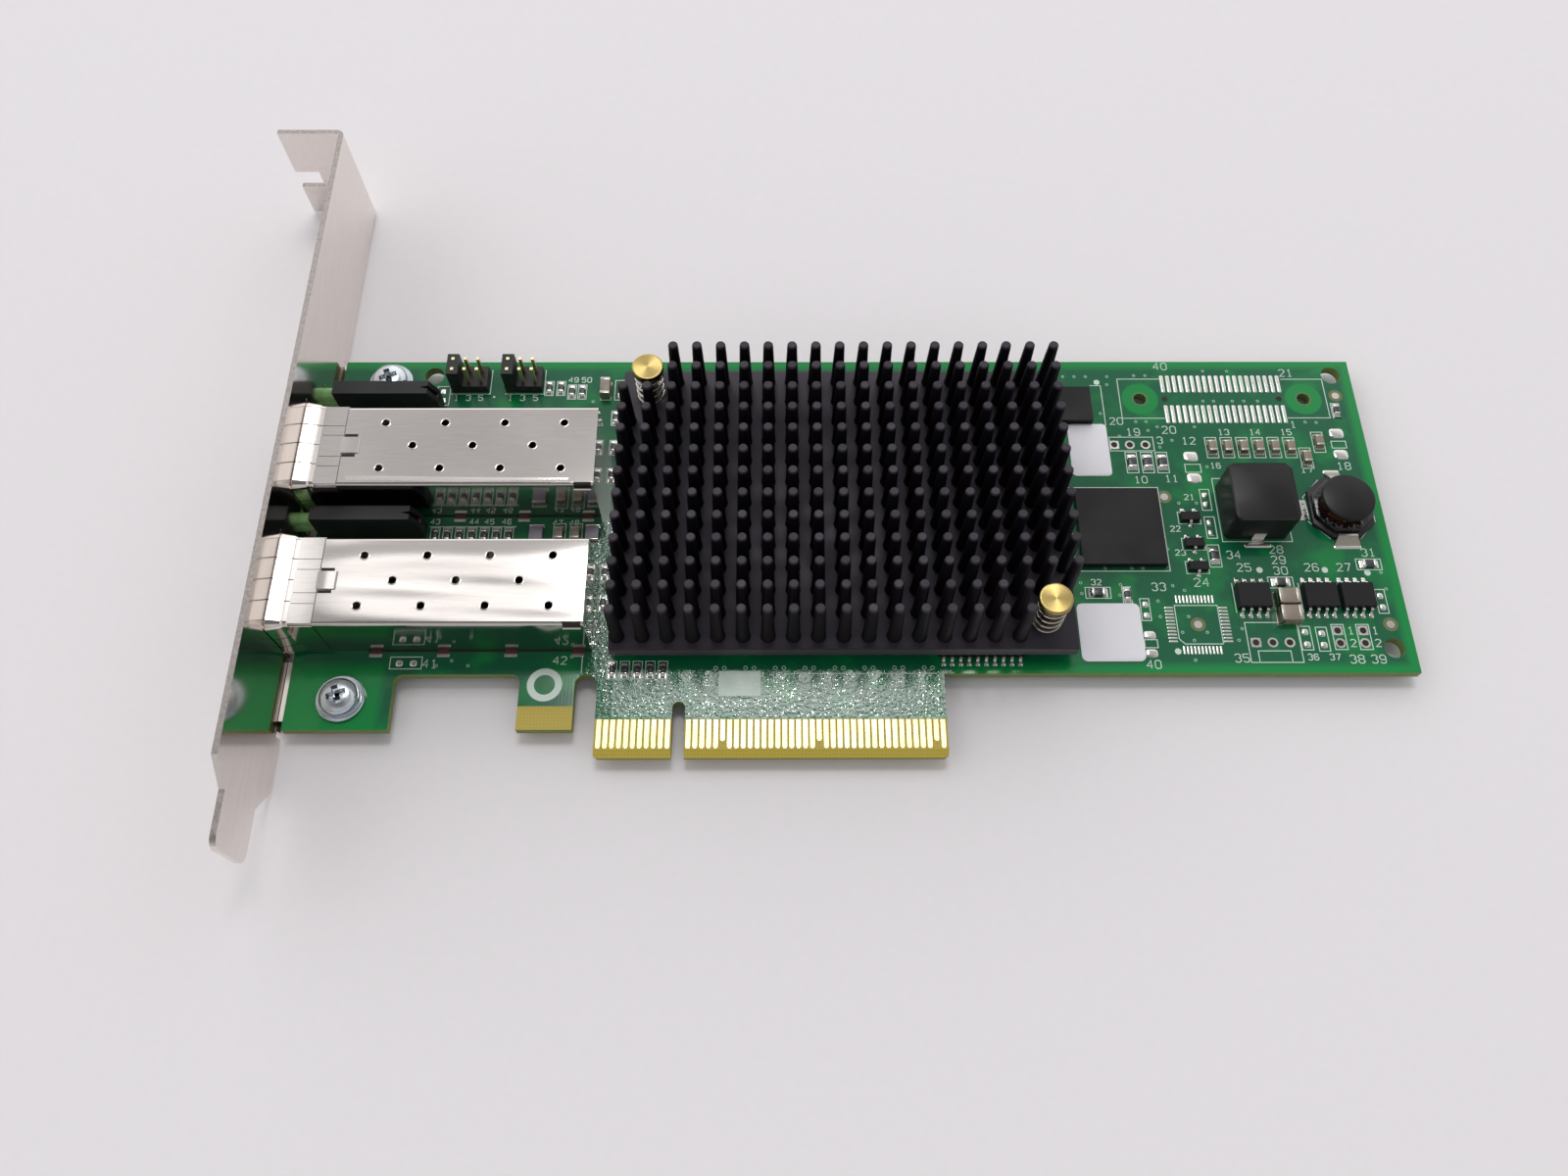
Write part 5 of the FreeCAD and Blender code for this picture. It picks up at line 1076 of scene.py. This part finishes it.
class CARD_OT_print(bpy.types.Operator):
    """Lays the pads, rings, printed outlines and plain numerals on the board"""

    bl_idname = "card.print"
    bl_label = "Pads and print"

    def execute(self, context):
        self.pads()
        self.lines()
        return {"FINISHED"}

    def pads(self):
        """Bare tinned pads, plated holes, rings and marking pads."""
        form = Form()
        top = mm(sizes().pad_height)
        metal, bore, ring, pale = 0, 1, 2, 3

        def pad(x, y, width, depth):
            form.pillow(x, y, width, depth, min(top, min(width, depth) * 0.12))

        def via(x, y, radius=0.26):
            """A small plated hole under the mask: its ring pale green, partly painted highlight, and its middle a dark
            disc of painted shade.
            """
            hole = radius * 0.5
            form.disc(x, y, radius, RING_TOP, pale, hole, 12)
            form.disc(x, y, hole, RING_TOP + 0.001, bore, 0.0, 10)
            form.disc(x, y, radius, UNDERSIDE, pale, hole, 12)

        # The spare connector's two rows of pads at a pitch of about 1 mm.
        first, pitch = 78.55, 1.018
        for i in range(20):
            for y, depth in ((64.4, 3.4), (58.45, 3.5)):
                pad(first + pitch * i, y, 0.62, depth)
        # The bare four-sided footprint, eleven pads a side.
        pitch, width, depth = 0.555, 0.3, 1.35
        for i in range(11):
            step = pitch * (i - 5)
            for x, y in ((78.1, 24.9), (78.15, 16.5)):
                pad(x + step, y, width, depth)
            for x in (73.95, 82.25):
                pad(x, 20.7 + step, depth, width)
        for width, depth, spots in (
            (2.3, 1.8, ((81.25, 50.3), (81.25, 46.25), (105.7, 54.7), (105.65, 50.65))),
            (1.8, 1.3, ((70.5, 18.95), (70.45, 16.0))),
            (0.95, 1.0, ((82.45, 43.1), (82.4, 41.45), (82.45, 38.15), (82.45, 36.35), (70.45, 24.05), (70.45, 22.2),
                         (106.6, 25.4), (106.65, 23.5), (-40.75, 62.95), (-40.6, 61.2))),
            (1.0, 1.05, ((94.0, 19.45), (94.0, 17.4), (96.5, 19.2), (96.5, 17.3))),
            (1.05, 0.95, ((-41.75, 14.6), (-39.65, 14.6))),
            (4.2, 1.0, ((89.4, 34.25),)), (1.2, 1.1, ((-11.4, 62.2),)),
        ):
            for x, y in spots:
                pad(x, y, width, depth)
        # The square inductor's right-hand land is flat, with three small holes in it, drawn as dark discs of painted
        # shade.
        form.patch(rounded(95.2, 98.3, 38.6, 42.2, 0.2, 2), LAND_TOP)
        for y in (39.3, 40.4, 41.5):
            form.disc(97.75, y, 0.15, LAND_TOP + 0.006, bore, 0.0, 10)
        # Plated holes: a square land at pin one, round lands after it, each hole a dark disc of painted shade.
        for spots in (
            ((69.15, 52.55), (71.68, 52.55), (74.22, 52.55)), ((86.3, 17.72), (88.85, 17.72), (91.4, 17.72)),
            ((98.95, 19.65), (99.0, 17.6)), ((102.8, 19.65), (102.75, 17.6)),
        ):
            x, y = spots[0]
            form.patch(rounded(x - 0.75, x + 0.75, y - 0.75, y + 0.75, 0.1, 2), LAND_TOP)
            for x, y in spots:
                form.disc(x, y, 0.8, LAND_TOP + 0.004, metal, 0.5, 24)
                form.disc(x, y, 0.51, LAND_TOP + 0.007, bore, 0.0, 24)
                form.disc(x, y, 0.8, UNDERSIDE - 0.015, metal, 0.45, 24)
        # Two small holes, drawn as dark discs of painted shade.
        for x, y in ((78.55, 61.45), (97.5, 61.45)):
            form.disc(x, y, 0.5, MARK_TOP, bore, 0.0, 20)
        # The peg holes are round at their mouths.
        for x, y in PEG_HOLES:
            form.turned(x, y, [(1.28, 0.004), (1.2, 0.012), (1.05, -0.02), (1.03, -1.5), (1.28, UNDERSIDE)], ring, 32)
        # Marking pads stand bare in a window of the mask.
        for x, y in ((75.95, 42.85), (107.0, 62.05), (107.2, 20.68), (78.05, 20.7)):
            form.disc(x, y, 1.15, WINDOW_TOP, ring, 0.0, 28)
            form.disc(x, y, 0.62, MARK_TOP, metal, 0.0, 24)
        for x, y in (
            (62.1, 65.9), (64.0, 65.9), (65.9, 65.9), (69.5, 65.9), (69.3, 64.3), (74.0, 66.1), (75.9, 66.1),
            (85.7, 67.0), (89.7, 67.0), (84.85, 61.0), (86.6, 61.0), (89.7, 61.0), (91.6, 61.0), (93.9, 61.0),
            (73.2, 57.0), (74.9, 57.0), (76.6, 56.0), (75.0, 55.3), (82.7, 56.0), (101.0, 56.9), (102.8, 56.8),
            (70.2, 54.2), (76.5, 52.1), (78.65, 53.4), (67.6, 58.6), (76.8, 22.0), (75.5, 19.4), (79.25, 19.4),
            (77.1, 18.1), (76.8, 14.9), (72.5, 24.6), (72.5, 22.0), (76.8, 26.4), (83.8, 18.1), (84.6, 20.0),
            (69.2, 30.2), (70.9, 30.2), (75.2, 33.5), (65.1, 30.2), (61.0, 27.7), (61.0, 25.9), (67.1, 27.4),
            (66.8, 25.6), (78.1, 41.7), (80.9, 41.7), (75.1, 27.2), (107.8, 26.6), (107.6, 29.4), (83.6, 48.4),
            (-44.6, 17.4), (-36.2, 14.2), (-34.0, 15.0), (-31.5, 14.2), (-16.2, 15.6), (-15.9, 61.0), (-16.6, 59.5),
        ):
            via(x, y)
        # Pairs of small holes stand in a row behind the connector, and more between them and the contacts.
        first, pitch = 5.3, 4.42
        for i in range(8):
            for step in (0.0, 1.25):
                via(first + pitch * i + step, 13.75, 0.36)
        chance = random.Random(11)
        for _ in range(70):
            x, y = -11.4 + 50.2 * chance.random(), 6.7 + 5.6 * chance.random()
            if not (-1.9 < x < 1.9 or 5.0 < x < 12.6 and y > 8.8):
                via(x, y, 0.2)
        # Specks of bare solder glint among them and left of the heat sink.
        for x0, x1, y0, y1, count in ((-11.5, 38.6, 6.2, 14.3, 900), (-14.0, -10.4, 12.5, 40.0, 150)):
            for _ in range(count):
                x, y = x0 + (x1 - x0) * chance.random(), y0 + (y1 - y0) * chance.random() ** 1.3
                if not (-1.3 < x < 1.3 and y < 9.0 or 5.4 < x < 12.3 and y > 9.0):
                    form.disc(x, y, 0.03 + 0.06 * chance.random() ** 3, SPECK_TOP, metal, 0.0, 8)
        form.piece("tinned_pads_and_rings", "tin bore ring via", "tinned_metal")

    def lines(self):
        """Printed outlines round the parts, dots at pin one, and plain numerals."""
        form = Form()
        width = mm(sizes().line)

        def frame_of(x0, x1, y0, y1):
            form.ribbon([(x0, y0), (x1, y0), (x1, y1), (x0, y1)], width, PRINT_TOP, 0, True)

        def numeral(word, x, y, height):
            """A plain number about a middle point."""
            unit, advance = height / 6, 5.8
            left = x - (len(word) * 4 + (len(word) - 1) * (advance - 4)) * unit / 2
            for place, digit in enumerate(word):
                for stroke in STROKES[digit]:
                    form.ribbon([(left + (place * advance + u) * unit, y + (v - 3) * unit) for u, v in stroke],
                                width * 1.05, PRINT_TOP)

        # Outlines stand off a chip by more along it than across it, or by fixed amounts.
        ends, sides = 0.92, 0.3
        for node, margins in (("chip_capacitors", None), ("chip_resistors", None), ("small_chips", (0.28, 0.6)),
                              ("small_transistors", (0.3, 0.35))):
            for low, high in corner_boxes(node):
                lying = high.x - low.x > high.y - low.y
                x, y = margins or ((ends, sides) if lying else (sides, ends))
                frame_of(low.x - x, high.x + x, low.y - y, high.y + y)
        for x0, x1, y0, y1 in (
            (68.44, 75.55, 51.4, 54.0), (80.05, 82.55, 47.35, 48.85), (104.5, 106.85, 51.9, 53.2),
            (69.55, 71.5, 16.9, 18.2), (81.7, 83.2, 40.4, 44.2), (81.7, 83.3, 35.4, 39.2), (69.7, 71.1, 21.35, 25.0),
            (105.9, 107.4, 22.5, 26.5), (93.1, 94.8, 16.5, 20.35), (95.65, 97.3, 16.3, 20.2), (85.1, 92.95, 14.5, 21.0),
            (98.1, 99.95, 16.55, 20.65), (101.85, 103.75, 16.55, 20.65), (84.0, 94.9, 34.8, 46.2),
            (60.6, 75.1, 29.7, 44.55), (-43.1, -38.4, 13.7, 15.6), (-41.75, -39.65, 60.3, 64.0),
            (-12.4, -10.3, 61.3, 65.2), (67.4, 68.6, 24.8, 26.9), (106.0, 107.2, 57.7, 60.0),
        ):
            frame_of(x0, x1, y0, y1)
        for line in (
            [(78.2, 65.4), (71.1, 65.4), (71.1, 57.65), (78.1, 57.65)],
            [(98.4, 65.35), (105.3, 65.35), (105.3, 57.7), (98.3, 57.7)],
            [(66.4, 64.1), (68.2, 64.1), (68.2, 56.3), (60.0, 56.3)],
            [(86.4, 14.5), (86.4, 16.35), (91.3, 16.35), (91.3, 14.5)],
            [(81.4, 17.5), (81.4, 23.85), (74.85, 23.85), (74.85, 18.3), (75.65, 17.5), (81.4, 17.5)],
            [(-33.0, 67.3), (-33.0, 62.5), (-39.5, 62.5)], [(-24.1, 67.3), (-24.1, 62.5), (-30.6, 62.5)],
            [(84.2, 27.6), (84.2, 22.6)], [(94.4, 27.6), (94.4, 22.6)], [(-40.0, 37.6), (-26.4, 37.6)],
            [(-14.6, 16.2), (-14.6, 12.9)], [(15.5, 12.85), (38.1, 12.85)],
            [(101.0, 45.95), (98.0, 42.8), (98.0, 42.4)],
            [(105.7, 45.95), (108.6, 42.8), (108.6, 38.4), (105.7, 35.25)], [(98.0, 38.4), (101.0, 35.25)],
        ):
            form.ribbon(line, width, PRINT_TOP)
        for x, y, radius in ((88.9, 29.85, 0.5), (99.0, 29.85, 0.5), (105.5, 29.35, 0.5), (67.65, 64.75, 0.5),
                             (74.4, 16.3, 0.5), (-32.3, 61.9, 0.2)):
            form.disc(x, y, radius, PRINT_TOP, 0, 0.0, 20)
        # A plain ring on the retention tab and a plain field on the connector.
        form.disc(-19.9, 11.15, 2.6, PRINT_TOP, 0, 1.55, 48)
        form.patch(rounded(5.75, 11.95, 9.35, 13.3, 0.1, 2), PRINT_TOP)
        for word, x, y, height in (
            ("40", 78.6, 67.95, 1.5), ("21", 99.5, 66.6, 1.5), ("20", 78.4, 55.4, 1.5), ("1", 98.95, 56.4, 1.3),
            ("3", 76.65, 53.4, 1.4), ("1", 68.0, 50.6, 1.2), ("1", 100.95, 19.65, 1.3), ("2", 100.95, 17.6, 1.3),
            ("1", 104.65, 19.65, 1.3), ("2", 104.7, 17.6, 1.3), ("1", -38.5, 61.75, 1.2), ("3", -36.55, 61.75, 1.2),
            ("5", -34.5, 61.75, 1.2), ("1", -29.6, 61.75, 1.2), ("3", -27.6, 61.75, 1.2), ("5", -25.45, 61.75, 1.2),
        ):
            numeral(word, x, y, height * 0.9)
        # Parts are numbered in order.
        for number, (x, y, height) in enumerate((
            (72.65, 46.0, 1.4), (77.6, 46.2, 1.4), (81.35, 53.3, 1.5), (87.3, 54.95, 1.2), (92.4, 54.95, 1.2),
            (97.5, 54.95, 1.2), (85.0, 48.6, 1.1), (99.6, 47.9, 1.4), (105.7, 48.5, 1.5), (72.5, 55.0, 1.5),
            (70.0, 57.1, 1.5), (79.9, 42.8, 1.1), (76.9, 37.1, 1.1), (77.1, 32.9, 1.1), (79.6, 27.75, 1.6),
            (86.55, 30.3, 1.5), (97.0, 30.3, 1.5), (102.0, 30.3, 1.5), (92.05, 33.4, 1.5), (92.1, 31.6, 1.5),
            (92.1, 29.75, 1.5), (106.3, 32.85, 1.5), (63.4, 27.8, 1.1), (72.9, 27.0, 1.5), (85.3, 32.5, 1.5),
            (83.8, 15.2, 1.5), (94.5, 15.35, 1.1), (97.75, 15.35, 1.1), (101.0, 15.0, 1.5), (104.2, 15.0, 1.5),
            (70.5, 14.2, 1.5), (-37.2, 14.5, 1.5), (-17.9, 15.0, 1.4), (-39.2, 38.5, 1.0), (-33.1, 38.5, 1.0),
            (-30.7, 38.5, 1.0), (-28.0, 38.5, 1.0), (-20.0, 38.3, 1.0), (-17.4, 38.3, 1.0), (-19.4, 65.3, 1.1),
            (-17.2, 65.3, 1.1),
        ), 10):
            numeral(str(number), x, y, height * 0.86)
        form.piece("printed_lines_and_numerals", "print")


class CARD_OT_labels(bpy.types.Operator):
    """Lays the two plain film labels on the board"""

    bl_idname = "card.labels"
    bl_label = "Labels"

    def execute(self, context):
        form = Form()
        for outline in (rounded(61.8, 68.2, 46.7, 56.5, 0.7), rounded(59.9, 69.5, 14.7, 24.2, 0.9)):
            form.prism(outline, 0.0, 0.09, 0, 0.03)
        form.piece("film_labels", "label")
        return {"FINISHED"}


class CARD_OT_stage(bpy.types.Operator):
    """Sets the pale floor, the soft light and the camera"""

    bl_idname = "card.stage"
    bl_label = "Stage"

    def execute(self, context):
        scene = context.scene
        self.floor(scene)
        # One wide panel up behind the card, in three parts that fade to the left and to the back.
        panel_height = 2.0
        for name, x0, x1, y0, y1, level in (
            ("main_panel", -0.35, 0.42, 0.65, 1.09, 32.0), ("side_panel", -0.87, -0.35, 0.85, 1.09, 4.8),
            ("back_panel", -0.22, 0.42, 1.09, 1.30, 12.0),
        ):
            lamp = bpy.data.lights.new(name, "AREA")
            lamp.shape = "RECTANGLE"
            lamp.size, lamp.size_y = x1 - x0, y1 - y0
            lamp.energy = level * (x1 - x0) * (y1 - y0)
            panel = bpy.data.objects.new(name, lamp)
            panel.location = ((x0 + x1) / 2, (y0 + y1) / 2, panel_height)
            scene.collection.objects.link(panel)
        scene.world = self.room()
        self.camera(scene)
        scene.view_settings.view_transform = "Standard"
        return {"FINISHED"}

    def floor(self, scene):
        """A wide sheet of pale paper just under the card."""
        mesh = bmesh.new()
        bmesh.ops.create_grid(mesh, x_segments=1, y_segments=1, size=4.0)
        bmesh.ops.translate(mesh, verts=mesh.verts, vec=(0, 0, CAD_LOW.z - 20 * MICRON))
        data = bpy.data.meshes.new("floor")
        mesh.to_mesh(data)
        mesh.free()
        data.materials.append(finish("paper"))
        floor = bpy.data.objects.new("floor", data)
        scene.collection.objects.link(floor)

    def room(self):
        """Pale walls, brighter behind the card and on its left, under a ceiling that is dim on the left."""
        world = bpy.data.worlds.new("soft_room")
        world.use_nodes = True
        tree = world.node_tree
        tree.nodes.clear()
        toward = add(tree, "ShaderNodeTexCoord", out="Generated")
        across, along, up = add(tree, "ShaderNodeSeparateXYZ", {0: toward}).node.outputs
        walls = add(tree, RANGE, {0: up, 1: 0.68, 2: 0.79, 3: 1.3, 4: 0.58})
        dim = add(tree, RANGE, {0: across, 1: 0.15, 2: 0.35, 3: 0.34, 4: 1.3})
        ceiling = add(tree, RANGE, {0: up, 1: 0.84, 2: 0.88, 3: 1.0, 4: dim})
        sideways = add(tree, RANGE, {0: across, 1: -1.0, 2: 1.0, 3: 1.15, 4: 0.6})
        behind = add(tree, RANGE, {0: along, 1: -1.0, 2: 1.0, 3: 0.42, 4: 1.42})
        level = 1.0
        for share in (walls, ceiling, sideways, behind):
            level = add(tree, MATH, {0: level, 1: share}, operation="MULTIPLY")
        light = add(tree, "ShaderNodeBackground", {"Color": linear("#ffffff"), "Strength": level})
        add(tree, "ShaderNodeOutputWorld", {"Surface": light})
        return world

    def camera(self, scene):
        """The photograph's camera, as it was solved from the connector's contacts."""
        place = Vector((14.558, -53.663, 169.166)) * MM
        ahead, up = Vector((0.00485, 0.42998, -0.90282)), Vector((0.00145, 0.90283, 0.42999))
        lens = bpy.data.cameras.new("camera")
        lens.sensor_width, lens.lens, lens.clip_start = 36.0, 28.1, 0.005
        camera = bpy.data.objects.new("camera", lens)
        side = ahead.cross(up).normalized()
        up = side.cross(ahead).normalized()
        turn = Matrix((side, up, -ahead.normalized())).transposed().to_4x4()
        camera.matrix_world = Matrix.Translation(place) @ turn
        scene.collection.objects.link(camera)
        scene.camera = camera


OPERATORS = (
    CARD_OT_board, CARD_OT_bracket, CARD_OT_ports, CARD_OT_lights, CARD_OT_heat_sink, CARD_OT_chips,
    CARD_OT_inductors, CARD_OT_small_parts, CARD_OT_print, CARD_OT_labels, CARD_OT_stage,
)


class CARD_PT_sidebar(bpy.types.Panel):
    """Lists the steps that dress the card"""

    bl_label = "Adapter card"
    bl_idname = "CARD_PT_sidebar"
    bl_space_type = "VIEW_3D"
    bl_region_type = "UI"
    bl_category = "Adapter card"

    def draw(self, context):
        for operator in OPERATORS:
            self.layout.operator(operator.bl_idname)


CLASSES = (CardColours, CardSizes, *OPERATORS, CARD_PT_sidebar)


def register():
    for item in CLASSES:
        bpy.utils.register_class(item)
    bpy.types.Scene.card_colours = PointerProperty(type=CardColours)
    bpy.types.Scene.card_sizes = PointerProperty(type=CardSizes)


def unregister():
    del bpy.types.Scene.card_sizes
    del bpy.types.Scene.card_colours
    for item in reversed(CLASSES):
        bpy.utils.unregister_class(item)


def main():
    register()
    bpy.ops.card.board()
    bpy.ops.card.bracket()
    bpy.ops.card.ports()
    bpy.ops.card.lights()
    bpy.ops.card.heat_sink()
    bpy.ops.card.chips()
    bpy.ops.card.inductors()
    bpy.ops.card.small_parts()
    bpy.ops.card.print()
    bpy.ops.card.labels()
    bpy.ops.card.stage()


if __name__ == "__main__":
    main()
